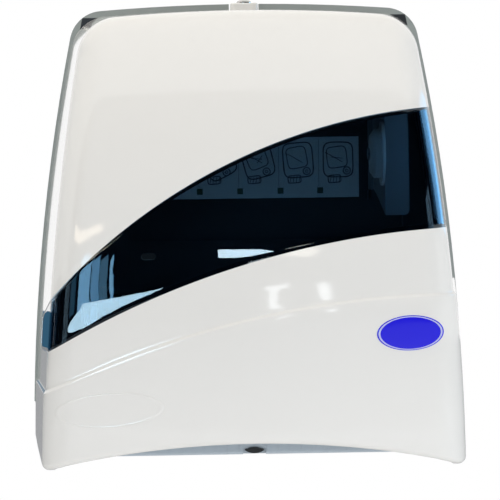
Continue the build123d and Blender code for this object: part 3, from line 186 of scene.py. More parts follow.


# The painted shade inside the cover ends along the side arcs: half the width plus the arc's bow, height
# squared over twice the radius, is under a limit there. It also ends below the top and at the plate's face.
plate_material = plastic("plate_grey", PLATE_GREY, 0.48, grain_size=0.5, grain_depth=0.03, dusty=0.35,
                         gloss=0.2)
tree = plate_material.node_tree
plate_colour = tree.nodes["Principled BSDF"].inputs["Base Color"]
spot = add_node(tree, "ShaderNodeSeparateXYZ", Vector=object_place(tree))
height = calculate(tree, "ADD", spot.outputs["Z"], -WIDEST_Z / 1000)
edge_line = calculate(tree, "MULTIPLY_ADD", calculate(tree, "POWER", height, 2.0), 500 / SIDE_RADIUS,
                      calculate(tree, "ABSOLUTE", spot.outputs["X"]))
inside = calculate(tree, "LESS_THAN", edge_line, INSIDE_HALF / 1000)
for axis, limit in (("Z", INSIDE_TOP / 1000), ("Y", -PLATE_FACE / 1000)):
    inside = calculate(tree, "MULTIPLY", inside, calculate(tree, "LESS_THAN", spot.outputs[axis], limit))
# Painted shade: the grey plate's colour turns near black inside the cover, where the cover shades it.
painted_shade_tone = mixed(tree, inside, plate_colour.links[0].from_socket, (*PLATE_PAINTED_SHADE, 1))
tree.links.new(painted_shade_tone, plate_colour)
finish(plate_material, "back_plate")

# ======== instruction label ========
# A thin vinyl sheet stuck to the plate inside the cover: a pale print of five plain line drawings that
# show how the roll goes in, over a row of small dark green squares.
label_low, label_high = 1000 * np.array(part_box("instruction_label"))
LABEL_BACK, LABEL_FACE = -label_high[1], -label_low[1]
DRAWING_LEANS, DRAWING_Z, INK = (40, 28, 14, 4, 0), 43.5, 0.03
SQUARES_X, SQUARE_Z, SQUARE_HALF = (-37.6, -4.9, 27.8, 60.0), 21.8, 2.4
panel_width = (label_high[0] - label_low[0]) / len(DRAWING_LEANS)


def to_metres(points):
    """Grid of x, depth and height in millimetres to the model's metres, with the wall plane at y = 0."""
    return np.stack([points[..., 0], -points[..., 1], points[..., 2]], -1) * 0.001


def build(name, blocks, sharp=35.0):
    """One smooth mesh object from blocks of (vertices in metres, quads). Vertices that no quad uses are
    dropped, doubles are merged, and edges past an angle in degrees stay sharp."""
    starts = np.cumsum([0] + [len(points) for points, quads in blocks])
    vertices = np.concatenate([points for points, quads in blocks])
    quads = np.concatenate([quads + start for (points, quads), start in zip(blocks, starts)])
    used, place = np.unique(quads, return_inverse=True)
    mesh = bpy.data.meshes.new(name)
    mesh.from_pydata(vertices[used].tolist(), [], place.reshape(quads.shape).tolist())
    welded = bmesh.new()
    welded.from_mesh(mesh)
    bmesh.ops.remove_doubles(welded, verts=welded.verts, dist=1e-7)
    welded.to_mesh(mesh)
    mesh.shade_smooth()
    mesh.set_sharp_from_angle(angle=math.radians(sharp))
    return linked(name, mesh)


def quads_of(rows, columns, keep=None, wrap_rows=False, wrap_columns=False):
    """Quads of a grid as indices, row by row, for the cells that a mask keeps."""
    index = np.arange(rows * columns).reshape(rows, columns)
    if wrap_rows:
        index = np.vstack([index, index[:1]])
    if wrap_columns:
        index = np.hstack([index, index[:, :1]])
    cells = np.stack([index[:-1, :-1], index[:-1, 1:], index[1:, 1:], index[1:, :-1]], -1)
    return cells.reshape(-1, 4) if keep is None else cells[keep]


def slab(low, high):
    """Box from its lowest and highest corners, each x, depth and height, as points and outward quads."""
    corner = np.array([[x, depth, z] for z in (low[2], high[2]) for depth in (low[1], high[1])
                       for x in (low[0], high[0])])
    return corner, np.array([[1, 3, 2, 0], [6, 7, 5, 4], [4, 5, 1, 0], [3, 7, 6, 2], [2, 6, 4, 0],
                             [5, 7, 3, 1]])


def stroke(path, width):
    """Printed line on the label: a ribbon along a path of (x, z) points, half a width to each side of it."""
    along = np.gradient(path, axis=0)
    length = np.linalg.norm(along, axis=1, keepdims=True)
    side = np.stack([-along[:, 1], along[:, 0]], -1) / length * width / 2
    both = np.stack([path - side, path + side])
    points = np.stack([both[..., 0], np.full(both.shape[:2], LABEL_FACE + INK), both[..., 1]], -1)
    return points.reshape(-1, 3), quads_of(2, len(path))


def line_path(start, end):
    """Points at even steps from a start to an end."""
    return np.linspace(start, end, 12)


def ring_path(x, z, radius, steps):
    """Points round a circle, from angle 0 to 360 degrees."""
    angle = np.linspace(0, 2 * math.pi, steps)
    return np.stack([x + radius * np.cos(angle), z + radius * np.sin(angle)], -1)


def box_path(x, z, half, rise, lean):
    """Closed outline of a box with soft corners: a superellipse of power 5, turned by a lean in degrees."""
    angle, turn = np.linspace(0, 2 * math.pi, 61), math.radians(lean)
    wide, high = (size * np.sign(wave) * np.abs(wave) ** 0.4
                  for size, wave in ((half, np.cos(angle)), (rise, np.sin(angle))))
    return np.stack([x + wide * math.cos(turn) - high * math.sin(turn),
                     z + wide * math.sin(turn) + high * math.cos(turn)], -1)


def drawing(x, z, lean, folds):
    """One drawing about (x, z): a leaning case with a door, a round knob and a ribbed tray, and folds."""
    case, door = box_path(x - 0.5, z + 3, 12.0, 14.0, lean), box_path(x - 1.5, z + 5, 8.0, 8.5, lean + 6)
    tray = box_path(x - 3.5, z - 12.5, 5.2, 3.0, 4)
    knob, knob_hole = ring_path(x + 6.5, z - 6, 2.9, 28), ring_path(x + 6.5, z - 6, 1.1, 16)
    ribs = [line_path((x - 7 + 2.4 * rib, z - 15), (x - 6.2 + 2.4 * rib, z - 10)) for rib in range(4)]
    creases = [line_path((x - 11 + 5 * fold, z + 9 - 4 * fold), (x + 3, z + 1 + 3 * fold))
               for fold in range(folds)]
    return ([stroke(case, 1.0), stroke(door, 0.75), stroke(tray, 0.8), stroke(knob, 0.85),
             stroke(knob_hole, 0.7)] + [stroke(rib, 0.5) for rib in ribs]
            + [stroke(crease, 0.55) for crease in creases])


def flat_piece(name, material, blocks):
    """Flat-shaded piece from blocks of (points of x, depth and height in millimetres, quads)."""
    piece = build(name, [(to_metres(points), quads) for points, quads in blocks], sharp=20.0)
    piece.data.materials.append(material)
    return piece


label_sheet = flat_piece("label_sheet", plastic("label_vinyl", (0.72, 0.80, 0.82), 0.35, grain_size=3.0,
                                                grain_depth=0.01, mottle=0.04, dusty=0.0),
                         [slab((label_low[0], LABEL_BACK, label_low[2]),
                               (label_high[0], LABEL_FACE, label_high[2]))])
strokes = []
for panel, lean in enumerate(DRAWING_LEANS):
    strokes += drawing(label_low[0] + panel_width * (panel + 0.5), DRAWING_Z, lean, panel % 3 + 1)
for divider in range(1, len(DRAWING_LEANS)):
    x = label_low[0] + panel_width * divider
    strokes.append(stroke(line_path((x, label_low[2] + 9), (x, label_high[2] - 2)), 0.25))
label_lines = flat_piece("label_lines", plastic("label_ink", (0.03, 0.05, 0.08), 0.5, grain_size=0.4,
                                                grain_depth=0.003, dusty=0.0), strokes)
label_squares = flat_piece("label_squares", plastic("label_green", (0.01, 0.09, 0.045), 0.5, grain_size=0.4,
                                                    grain_depth=0.003, dusty=0.0),
                           [stroke(line_path((x, SQUARE_Z - SQUARE_HALF), (x, SQUARE_Z + SQUARE_HALF)),
                                   2 * SQUARE_HALF) for x in SQUARES_X])
for piece in (label_sheet, label_lines, label_squares):
    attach(piece, "wall_unit")
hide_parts("instruction_label")

# ======== roll arms ========
# Two upright arms moulded in dark grey nylon with a fine texture. They spread against springs, on steel
# pins in the wall plate, and their hubs plug into the ends of the roll's core.
finish(plastic("arm_grey", (0.16, 0.18, 0.19), 0.45, grain_size=0.5, grain_depth=0.03, dusty=0.2),
       "roll_arm_left", "roll_arm_right")

# ======== feed module ========
# Two cheeks joined by beams, with a guard and a paper guide, all moulded in black glass-filled nylon
# with a coarse matt texture. They hold the rollers in acetal bushes and sliding blocks.
finish(plastic("module_black", (0.017, 0.019, 0.022), 0.55, grain_size=0.6, grain_depth=0.045, dusty=0.06,
               smeared=0.1, gloss=0.15),
       "module_frame_left", "module_frame_right", "rear_beam", "front_beam", "roller_guard", "paper_guide",
       "pinch_blocks", "gear_cover")

# ======== rollers' sleeves ========
# Dark grey rubber moulded round the rollers' white cores and buffed to a fine matt surface, which
# grips the towel where it runs between the two rollers.
finish(plastic("roller_rubber", (0.055, 0.055, 0.06), 0.78, grain_size=0.25, grain_depth=0.05, mottle=0.1),
       "drive_sleeves", "pinch_sleeves")

# ======== bushes, cores and gears ========
# Slippery acetal: natural white for the gears, the rollers' cores, the bushes and the hubs that plug
# into the roll, and a green nylon knob that feeds the first towel by hand.
finish(plastic("acetal_white", (0.62, 0.62, 0.60), 0.3, grain_size=0.9, grain_depth=0.008, dusty=0.2),
       "drive_bushes", "drive_cores", "core_hub_left", "core_hub_right")
finish(plastic("gear_acetal", (0.70, 0.68, 0.60), 0.28, grain_size=0.9, grain_depth=0.008, dusty=0.15),
       "sector_gear", "pinion")
finish(plastic("knob_green", (0.02, 0.16, 0.07), 0.35, grain_size=0.6, grain_depth=0.012, dusty=0.1),
       "feed_knob")

# ======== lever ========
# The bar that a hand pushes: satin blue-grey ABS with upright ribs, on two arms that turn about the
# upper pivots. A black rubber pad sits in the notch at its middle.
finish(plastic("lever_grey", (0.42, 0.48, 0.53), 0.32, grain_size=0.5, grain_depth=0.015, dusty=0.15),
       "push_lever")
finish(plastic("pad_rubber", (0.012, 0.012, 0.012), 0.7, grain_size=0.4, grain_depth=0.03), "lever_bumper")

# ======== steel parts ========
# Ground shafts and pins, spring wire, zinc-plated screws, the brushed tear bar with its rivets, and
# the nickel-plated lock. Each keeps the direction of the tool that made its surface.
MARK_DEPTH = 0.01
worked, given, gives = group_of("worked_metal", (("Along X", 1.0), ("Along Y", 1.0), ("Along Z", 1.0)),
                                ("Lines", "Tarnish"))
place = object_place(worked)
stretch = add_node(worked, "ShaderNodeCombineXYZ", X=given.outputs[0], Y=given.outputs[1], Z=given.outputs[2])
stretched = add_node(worked, "ShaderNodeVectorMath", [("operation", "MULTIPLY")], _0=place,
                     _1=stretch.outputs[0])
wire(gives, Lines=noise(worked, stretched.outputs[0], 1.0, Detail=3.0, Roughness=0.6),
     Tarnish=noise(worked, place, 70.0, Detail=4.0))


def steel(name, colour, roughness, marks, darker=0.25):
    """Worked metal: colour (linear), roughness, how fast its tool marks change along X, Y and Z per metre,
    and how much patches of tarnish darken it."""
    material, tree, shader = new_material(name)
    surface = add_node(tree, "ShaderNodeGroup", [("node_tree", worked)], Along_X=marks[0], Along_Y=marks[1],
                       Along_Z=marks[2])
    lines = surface.outputs["Lines"]
    tarnished = [channel * (1 - darker) for channel in colour]
    shaded = mixed(tree, surface.outputs["Tarnish"], (*colour, 1), (*tarnished, 1))
    rough = add_node(tree, "ShaderNodeMapRange", Value=lines, To_Min=roughness * 0.7, To_Max=roughness * 1.4)
    bump = add_node(tree, "ShaderNodeBump", Strength=1.0, Distance=MARK_DEPTH / 1000, Height=lines)
    wire(shader, Base_Color=shaded, Roughness=rough.outputs[0], Normal=bump.outputs[0], Metallic=1.0)
    return material


finish(steel("tear_bar_brushed", (0.60, 0.61, 0.62), 0.3, (30, 3000, 3000)), "tear_bar", "tear_bar_rivets")
finish(steel("shaft_ground", (0.55, 0.56, 0.57), 0.22, (4000, 200, 200)), "pivot_pins", "pivot_clips",
       "arm_pins", "hinge_pins", "drive_shaft", "one_way_clutch", "pinch_shaft", "hub_pin_left",
       "hub_pin_right")
finish(steel("spring_wire", (0.32, 0.32, 0.33), 0.35, (900, 900, 900), darker=0.4), "pinch_springs",
       "lever_spring", "arm_springs")
finish(steel("screw_zinc", (0.62, 0.62, 0.58), 0.33, (1500, 1500, 1500), darker=0.3), "module_screws",
       "gear_cover_screws", "cam_screw", "sector_screws")
finish(steel("lock_nickel", (0.66, 0.65, 0.62), 0.2, (600, 600, 2600), darker=0.2), "lock_barrel", "lock_cam")

# ======== front cover ========
# The glossy white shell that hinges down from the wall plate: one injection moulding in ABS, with
# drafted side walls, a bowed front, a soft crease above its lower panel, a rolled lip round the open
# foot, and an opening for the lens. The mesh is the shell itself, with its real wall, edge to edge.
TOP_SAG, EDGE_TOP, EDGE_SIDE = 6.0, 4.0, 1.5
SIDE_DRAFT, TOP_DRAFT = math.tan(math.radians(7)), math.tan(math.radians(5))
FRONT_DEPTH, PROFILE_RADIUS, PROFILE_Z, PLAN_RADIUS = 236.0, 366.0, -60.0, 950.0
CORNER_ROUND, FRONT_ROUND, WALL = 32.0, 24.0, 2.6
BACK_EDGE, RELIEF_DEPTH, RELIEF_Z, WINDOW_BACK = 6.0, 17.0, -146.0, 64.0
PANEL_STEP, CREASE_HALF, LIP_ROUND, LIP_RETURN, LIP_LOWEST = 1.6, 1.3, 6.0, 9.0, -177.0
# Arcs across the front, each as its centre's x and height, and its radius.
WINDOW_TOP, WINDOW_BOTTOM = (158.7, -321.0, 404.7), (161.0, -595.4, 593.7)
CREASE, LIP = (132.6, -671.7, 623.3), (0.0, -727.7, 575.0)
# Rays that find the skin: their greatest length, how often it is halved, the height of the highest
# one's start, and the rounds in which places that depend on each other settle.
RAY_LENGTH, HALVINGS, HIGHEST_START, ROUNDS = 110.0, 26, 118.0, 14
# Rows of the grid, counted up from the lip at 0: the crease's upper edge, both arcs of the lens, the
# rounded edge's start and the back edge of the top. Runs, counted forward from the back edge of a side
# at 0: the hinge relief, the lens's end, the rounded edge's start and end, and the middle of the front.
CREASE_ROW, LENS_LOW, LENS_HIGH, EDGE_ROW, BACK_ROW = 2, 3, 4, 5, 9
RELIEF_RUN, LENS_RUN, EDGE_RUN, FRONT_RUN, MIDDLE_RUN = 1, 2, 3, 4, 5


def arc_height(x, arc):
    """Height of an arc over x: the centre's height plus the root of radius squared less distance squared."""
    return arc[1] + np.sqrt(np.maximum(arc[2] ** 2 - (x - arc[0]) ** 2, 1.0))


def half_width(z):
    """Half the plate's width at a height: a side arc of SIDE_RADIUS, widest at WIDEST_Z."""
    return np.sqrt(SIDE_RADIUS ** 2 - (z - WIDEST_Z) ** 2) - (SIDE_RADIUS - WIDEST)


def rounded(a, b, cosine, radius):
    """Two half-spaces joined by a rolling ball. In the corner it is the distance from the ball's centre
    less its radius, for distances a and b whose normals meet at this cosine; elsewhere the larger of them."""
    p, q = a + radius, b + radius
    reach = np.sqrt(np.maximum(p * p + q * q - 2 * cosine * p * q, 0) / (1 - cosine ** 2))
    return np.where((p > cosine * q) & (q > cosine * p), reach - radius, np.maximum(a, b))


def top_outline(x, depth):
    """Height and slope of the arched top wall at x and depth: a bow that falls by TOP_SAG at its ends."""
    top = PLATE_TOP - EDGE_TOP - depth * TOP_DRAFT
    corner = half_width(top - TOP_SAG) - EDGE_SIDE - depth * SIDE_DRAFT
    bow = (corner ** 2 + TOP_SAG ** 2) / (2 * TOP_SAG)
    rise = np.sqrt(np.maximum(bow ** 2 - x * x, 1.0))
    return top - bow + rise, x / rise


def walls(x, depth, z):
    """Distance out of the drafted walls, in front view: side arcs and top bow, met by round corners."""
    x = np.abs(x)
    lean = (z - WIDEST_Z) / np.sqrt(SIDE_RADIUS ** 2 - (z - WIDEST_Z) ** 2)
    height, fall = top_outline(x, depth)
    side_run, top_run = np.sqrt(1 + lean ** 2), np.sqrt(1 + fall ** 2)
    side = (x - half_width(z) + EDGE_SIDE + depth * SIDE_DRAFT) / side_run
    return rounded(side, (z - height) / top_run, (fall + lean) / (side_run * top_run), CORNER_ROUND)


def front(x, depth, z):
    """Distance out of the front: an arc of PROFILE_RADIUS in side view, swept about an upright axis
    that stands PLAN_RADIUS behind the wall."""
    swept = np.hypot(x, depth + PLAN_RADIUS) - PLAN_RADIUS - FRONT_DEPTH + PROFILE_RADIUS
    return np.hypot(swept, z - PROFILE_Z) - PROFILE_RADIUS


def gradient(field, x, depth, z, step=0.05):
    """Slopes of a field along x, depth and height, by central differences."""
    return np.array([field(x + step, depth, z) - field(x - step, depth, z),
                     field(x, depth + step, z) - field(x, depth - step, z),
                     field(x, depth, z + step) - field(x, depth, z - step)]) / (2 * step)


def skin(x, depth, z, inset):
    """Walls and front joined by a ball of FRONT_ROUND, all moved inwards by an inset: zero on the skin."""
    across, ahead = gradient(walls, x, depth, z), gradient(front, x, depth, z)
    run = np.sqrt((across ** 2).sum(0)) + 1e-9
    cosine = np.clip((across * ahead).sum(0) / run, -0.9, 0.9)
    return rounded(walls(x, depth, z) / run + inset, front(x, depth, z) + inset, cosine, FRONT_ROUND - inset)


def cast(ray, inset, reach=RAY_LENGTH):
    """Point where each ray leaves the skin: its length is halved until the field changes sign there."""
    near, far = np.zeros_like(inset), np.full_like(inset, reach)
    for _ in range(HALVINGS):
        middle = (near + far) / 2
        within = skin(*ray(middle), inset) < 0
        near, far = np.where(within, middle, near), np.where(within, far, middle)
    return np.stack(ray(near), -1)


def hub_depth(x, z):
    """Depth of the line, CORNER_ROUND inside the front, from which rays fan out over the rounded edge."""
    profile = np.sqrt((PROFILE_RADIUS - CORNER_ROUND) ** 2 - (z - PROFILE_Z) ** 2)
    return np.sqrt((PLAN_RADIUS + profile + FRONT_DEPTH - PROFILE_RADIUS) ** 2 - x * x) - PLAN_RADIUS


def hub_side(z):
    """Half-width of the rays' line beside the wall at a height: CORNER_ROUND inside the wall."""
    x = half_width(z) - 2 * CORNER_ROUND
    for _ in range(ROUNDS):
        x = half_width(z) - EDGE_SIDE - hub_depth(x, z) * SIDE_DRAFT - CORNER_ROUND
    return x


def hub_top(x):
    """Height of the rays' line below the top wall at x: CORNER_ROUND inside the wall."""
    z = np.full(np.shape(x), HIGHEST_START)
    for _ in range(ROUNDS):
        z = top_outline(x, hub_depth(x, z))[0] - CORNER_ROUND
    return z


def ramp(*stops):
    """Joined runs of even steps, from (start, end, steps) triples."""
    runs = [np.linspace(start, end, steps, endpoint=False) for start, end, steps in stops]
    return np.concatenate(runs + [[stops[-1][1]]])


def wall_depth(run, hub):
    """Depth along a wall for a run: from the back edge past the hinge relief and the lens's end to the
    rays' line."""
    behind = np.interp(run, (0, RELIEF_RUN, LENS_RUN), (BACK_EDGE, RELIEF_DEPTH, WINDOW_BACK))
    return behind + np.clip(run - LENS_RUN, 0, 1) * (hub - WINDOW_BACK)


def levels(x):
    """Heights over x of the curves that bound the bands of the front: lip, both edges of the crease,
    both arcs of the lens, and the rays' line below the top wall."""
    return np.array([np.maximum(arc_height(x, LIP), LIP_LOWEST) + LIP_ROUND,
                     arc_height(x, CREASE) - CREASE_HALF, arc_height(x, CREASE) + CREASE_HALF,
                     arc_height(x, WINDOW_BOTTOM), arc_height(x, WINDOW_TOP),
                     hub_top(np.minimum(np.abs(x), hub_side(HIGHEST_START)))])


def band_height(row, x, grow=0.0):
    """Height of a row over x: a whole number is one of the levels, a fraction lies between two of them."""
    base = np.clip(np.floor(row), 0, LENS_HIGH).astype(int)
    stack = levels(x)
    low = np.choose(base, stack[:-1])
    return low + (row - base) * (np.choose(base, stack[1:]) - low) + grow


def skin_grid(runs, sides, rows, inset, grow=0.0):
    """Grid of skin points. A column's runs go forward along the wall, round the edge and over the front to
    the middle; rows are bands of the front, and then go round the edge and back along the top wall. Past
    the edge, a ray leaves a hub line at an angle, or square to the wall at a set depth; in the corner the
    two walls' rays turn from sideways to upwards about one hub point."""
    run, row = np.meshgrid(runs, rows)
    side = np.meshgrid(sides, rows)[0]
    inset = np.broadcast_to(inset, run.shape) + 0.0
    low = np.minimum(row, EDGE_ROW)
    x = side * WIDEST
    for _ in range(ROUNDS):
        hub_z = band_height(low, x, grow)
        x = side * hub_side(hub_z) * (MIDDLE_RUN - np.clip(run, FRONT_RUN, MIDDLE_RUN))
    side_run, top_run = np.minimum(run, FRONT_RUN), np.clip(BACK_ROW - row, 0, FRONT_RUN)
    level = np.minimum(side_run, top_run)
    side_part, top_part = FRONT_RUN - side_run, FRONT_RUN - top_run
    share = np.where(side_part >= top_part, 0.5 * top_part / np.maximum(side_part, 1e-6),
                     1 - 0.5 * side_part / np.maximum(top_part, 1e-6))
    turn = np.where(side_part + top_part < 1e-6, 0.5, share) * math.pi / 2
    depth = hub_depth(x, hub_z)
    start = np.where(level < EDGE_RUN, wall_depth(level, depth), depth)
    fan = np.clip(level - EDGE_RUN, 0, 1) * math.pi / 2
    along, forward = np.cos(fan), np.sin(fan)

    def ray(length):
        along_x = x + side * length * along * np.cos(turn)
        z = np.where(row > EDGE_ROW, hub_z + length * along * np.sin(turn), band_height(low, along_x, grow))
        return along_x, start + length * forward, z

    return cast(ray, inset)


def grid_normals(points):
    """Unit normals out of a grid of x, depth and height, from the cross product of its two directions."""
    across, up = np.gradient(points, axis=1), np.gradient(points, axis=0)
    normal = np.cross(up, across)
    return normal / (np.linalg.norm(normal, axis=-1, keepdims=True) + 1e-12)


def shell(points, thickness, keep=None):
    """Closed wall from a grid: the outer cells, the same cells set back along the normals by a thickness
    and turned round, and a strip along every cell edge where the mask ends."""
    rows, columns = points.shape[:2]
    keep = np.ones((rows - 1, columns - 1), bool) if keep is None else keep
    inner = points - grid_normals(points) * thickness
    outer_faces = quads_of(rows, columns, keep)
    inner_faces = outer_faces[:, ::-1] + rows * columns
    index, solid = np.arange(rows * columns).reshape(rows, columns), np.pad(keep, 1)
    strips = []
    for a, b, near, far in ((index[:, :-1], index[:, 1:], solid[1:, 1:-1], solid[:-1, 1:-1]),
                            (index[:-1, :], index[1:, :], solid[1:-1, :-1], solid[1:-1, 1:])):
        for start, end, edge in ((a, b, near & ~far), (b, a, far & ~near)):
            first, last = start[edge], end[edge]
            strips.append(np.stack([last, first, first + rows * columns, last + rows * columns], -1))
    vertices = np.concatenate([points.reshape(-1, 3), inner.reshape(-1, 3)])
    return to_metres(vertices), np.concatenate([outer_faces, inner_faces] + strips)


def both_sides(half):
    """Columns from the left back edge to the right one: their runs, and the side, -1 or 1, of each."""
    return np.concatenate([half, half[-2::-1]]), np.repeat([-1.0, 1.0], [len(half), len(half) - 1])


wall_runs, edge_runs, front_runs = ramp((0, 1, 2), (1, 2, 14), (2, 3, 8)), ramp((3, 4, 14)), ramp((4, 5, 34))
column_runs, column_sides = both_sides(np.concatenate([wall_runs[:-1], edge_runs[:-1], front_runs]))
cover_rows = np.concatenate([ramp((0, 1, 30), (1, 2, 6), (2, 3, 14), (3, 4, 24), (4, 5, 36))[:-1],
                             BACK_ROW - np.concatenate([wall_runs[:-1], edge_runs])[::-1]])
step_share = np.clip(CREASE_ROW - cover_rows, 0, 1)
panel_inset = -PANEL_STEP * step_share ** 2 * (3 - 2 * step_share)
cover_points = skin_grid(column_runs, column_sides, cover_rows, panel_inset[:, None])

# The lip: a quarter circle rolls inwards from the lowest row, and a short flange runs on from it.
lip_normal = grid_normals(cover_points)[0]
lip_down = cover_points[0] - cover_points[1]
lip_down /= np.linalg.norm(lip_down, axis=-1, keepdims=True)
roll = np.linspace(0, math.pi / 2, 7)[1:, None, None]
lip_roll = cover_points[0] + LIP_ROUND * (np.sin(roll) * lip_down + (np.cos(roll) - 1) * lip_normal)
lip_back = lip_roll[-1] - lip_normal * np.linspace(0, LIP_RETURN - LIP_ROUND, 3)[1:, None, None]
cover_sheet = np.concatenate([lip_back[::-1], lip_roll[::-1], cover_points])
sheet_rows = np.concatenate([np.zeros(len(lip_back) + len(lip_roll)), cover_rows])

# Cells left out: the window's opening, and the relief round the hinge low on each side wall.
cell_row, cell_run = (sheet_rows[:-1] + sheet_rows[1:]) / 2, (column_runs[:-1] + column_runs[1:]) / 2
in_window = ((cell_row > LENS_LOW) & (cell_row < LENS_HIGH))[:, None] & (cell_run > LENS_RUN)[None, :]
low_cells = (cover_sheet[:-1, :-1, 2] + cover_sheet[1:, :-1, 2]) / 2 < RELIEF_Z
cover_cells = ~in_window & ~(low_cells & (cell_run < RELIEF_RUN)[None, :])

# Of the same moulding: a block behind the top edge that carries the lock barrel in an upright bore, and
# a round lug low on each side that turns on a steel hinge pin.
HOUSING_HALF, HOUSING_DEPTH, HOUSING_HEIGHT = 11.0, (1.0, 26.0), (150.0, 172.0)
HOUSING_ROUND, HOUSING_EDGE, LOCK_BORE = 4.0, 1.2, 6.05
LUG_RADIUS, LUG_BORE, LUG_INNER, LUG_OUTER = 7.0, 3.05, 148.5, 171.5


def middle_of(node):
    """Middle of a CAD node's box, as x, depth and height."""
    low, high = 1000 * np.array(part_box(node))
    return (low + high) / 2 * (1, -1, 1)


hinge_depth, hinge_z = middle_of("hinge_pins")[1:]
lock_depth = middle_of("lock_barrel")[1]


def rounded_rectangle(low, high, radius, steps):
    """Closed outline: straight sides joined by quarter circles, walked round by angle from each corner's
    centre. It comes with the unit vectors out of it."""
    angle = np.linspace(0, 2 * math.pi, 4 * steps, endpoint=False) + math.pi / (4 * steps)
    outward = np.stack([np.cos(angle), np.sin(angle)], -1)
    middle, half = (np.array(low) + high) / 2, (np.array(high) - low) / 2
    return middle + np.sign(outward) * (half - radius) + radius * outward, outward


def ring_block(rings):
    """Closed ring of quads through a list of outlines, each a whole loop; the last joins the first."""
    points = np.array(rings)
    return to_metres(points.reshape(-1, 3)), quads_of(*points.shape[:2], wrap_rows=True, wrap_columns=True)


def level_ring(outline, height):
    """A plan outline of x and depth at a height."""
    return np.column_stack([outline, np.full(len(outline), height)])


def lug_ring(x, radius, steps=48):
    """Circle about the hinge pin's axis at x."""
    turn = np.linspace(0, 2 * math.pi, steps, endpoint=False)
    return np.column_stack([np.full(steps, x), hinge_depth + radius * np.cos(turn),
                            hinge_z - radius * np.sin(turn)])


outline, outward = rounded_rectangle((-HOUSING_HALF, HOUSING_DEPTH[0]), (HOUSING_HALF, HOUSING_DEPTH[1]),
                                     HOUSING_ROUND, 12)
bore = np.array([0, lock_depth]) + LOCK_BORE * outward
housing_rings = [level_ring(bore, height) for height in HOUSING_HEIGHT]
housing_rings += [level_ring(outline - outward * HOUSING_EDGE * (1 - math.cos(turn)),
                             HOUSING_HEIGHT[1] - HOUSING_EDGE * (1 - math.sin(turn)))
                  for turn in np.linspace(math.pi / 2, 0, 6)]
housing_rings += [level_ring(outline, HOUSING_HEIGHT[0])]
lug_blocks = [ring_block([lug_ring(side * x, radius) for x, radius in
                          ((LUG_INNER, LUG_RADIUS), (LUG_OUTER, LUG_RADIUS), (LUG_OUTER, LUG_BORE),
                           (LUG_INNER, LUG_BORE))][::side]) for side in (-1, 1)]
cover = build("cover_shell", [shell(cover_sheet, WALL, cover_cells), ring_block(housing_rings)] + lug_blocks)
cover_material = plastic("cover_white", (0.79, 0.78, 0.75), 0.045, grain_size=14.0, grain_depth=0.02,
                         mottle=0.01, dusty=0.1, smeared=0.03)
cover.data.materials.append(cover_material)
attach(cover, "cover")
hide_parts("front_cover")

# ======== embossed oval ========
# A plain raised oval low on the left of the cover, part of the moulding: a low flat field with a rounded
# rim, where a maker would put a mark. It is left bare.
OVAL, OVAL_LEAN = (-100.9, -125.6, 38.6, 12.3), 4.0  # middle's x and height, half width, half height
RIM_HEIGHT, FIELD_HEIGHT, OVAL_FOOT = 0.34, 0.15, -0.4
BEAD_MIDDLE, BEAD_WIDTH, EDGE_WIDTH = 0.945, 0.035, 0.02  # as shares of the oval
FRONT_START, FRONT_REACH = 90.0, 170.0


def ahead_of(x, z, inset):
    """Skin points straight ahead of a front view's points, as x, depth and height."""
    return cast(lambda length: (x, FRONT_START + length, z), inset + 0.0 * x, FRONT_REACH)


def oval_grid(oval, lean, shares, heights, steps=96):
    """Polar grid on the lower panel: share 0 to 1 runs from the middle to an ellipse's edge, and each
    share has its height over the panel. Rows are shares, columns go round."""
    x, z, half, rise = oval
    share, angle = np.meshgrid(shares, np.linspace(0, 2 * math.pi, steps, endpoint=False), indexing="ij")
    across, up, turn = half * share * np.cos(angle), rise * share * np.sin(angle), math.radians(lean)
    return ahead_of(x + across * math.cos(turn) - up * math.sin(turn),
                    z + across * math.sin(turn) + up * math.cos(turn), -PANEL_STEP - heights[:, None])


def oval_disc(oval, lean, shares, heights, foot):
    """Closed oval disc, or a closed ring where the shares start above 0, between heights and a foot."""
    rings = np.concatenate([oval_grid(oval, lean, shares, heights),
                            oval_grid(oval, lean, shares, foot + 0 * shares)[::-1]])
    quads = quads_of(*rings.shape[:2], wrap_rows=shares[0] > 0, wrap_columns=True)
    return to_metres(rings.reshape(-1, 3)), quads[:, ::-1]


def rim_height(share):
    """Field height with a round bead of RIM_HEIGHT near the edge, and nothing at the edge itself."""
    bead = np.exp(-((share - BEAD_MIDDLE) / BEAD_WIDTH) ** 2)
    return (FIELD_HEIGHT + (RIM_HEIGHT - FIELD_HEIGHT) * bead) * np.clip((1 - share) / EDGE_WIDTH, 0, 1)


oval_shares = np.concatenate([[0.0], np.linspace(0.2, 0.85, 6), np.linspace(0.87, 1, 18)])
oval = build("embossed_oval", [oval_disc(OVAL, OVAL_LEAN, oval_shares, rim_height(oval_shares), OVAL_FOOT)])
oval.data.materials.append(cover_material)
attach(oval, "cover")

# ======== badge ========
# A small oval plate glued to the lower panel: royal blue under a clear domed resin, with a thin pale
# ring inlaid near its edge. It is left bare.
BADGE, BADGE_LEAN = (108.4, -74.4, 23.5, 12.2), 1.5
BADGE_THICK, BADGE_FOOT, RING_INNER, RING_OUTER, RING_RISE = 0.8, -0.1, 0.90, 0.955, 0.1
SHOULDER, SHOULDER_WIDTH, DOME_FALL = 0.93, 0.0705, 0.25  # as shares of the badge and of its thickness


def dome(share):
    """Height of the resin: a low dome, rounded down over the outermost part as a quarter ellipse."""
    edge = np.clip(share - SHOULDER, 0, 1) / SHOULDER_WIDTH
    return BADGE_THICK * (1 - DOME_FALL * share ** 4) * np.sqrt(np.clip(1 - edge ** 2, 0, 1))


def badge_part(name, shares, heights, foot, material):
    """A part of the badge between two shares of its ellipse, with its foot at a height over the panel."""
    piece = build(name, [oval_disc(BADGE, BADGE_LEAN, shares, heights, foot)])
    piece.data.materials.append(material)
    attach(piece, "cover")
    return piece


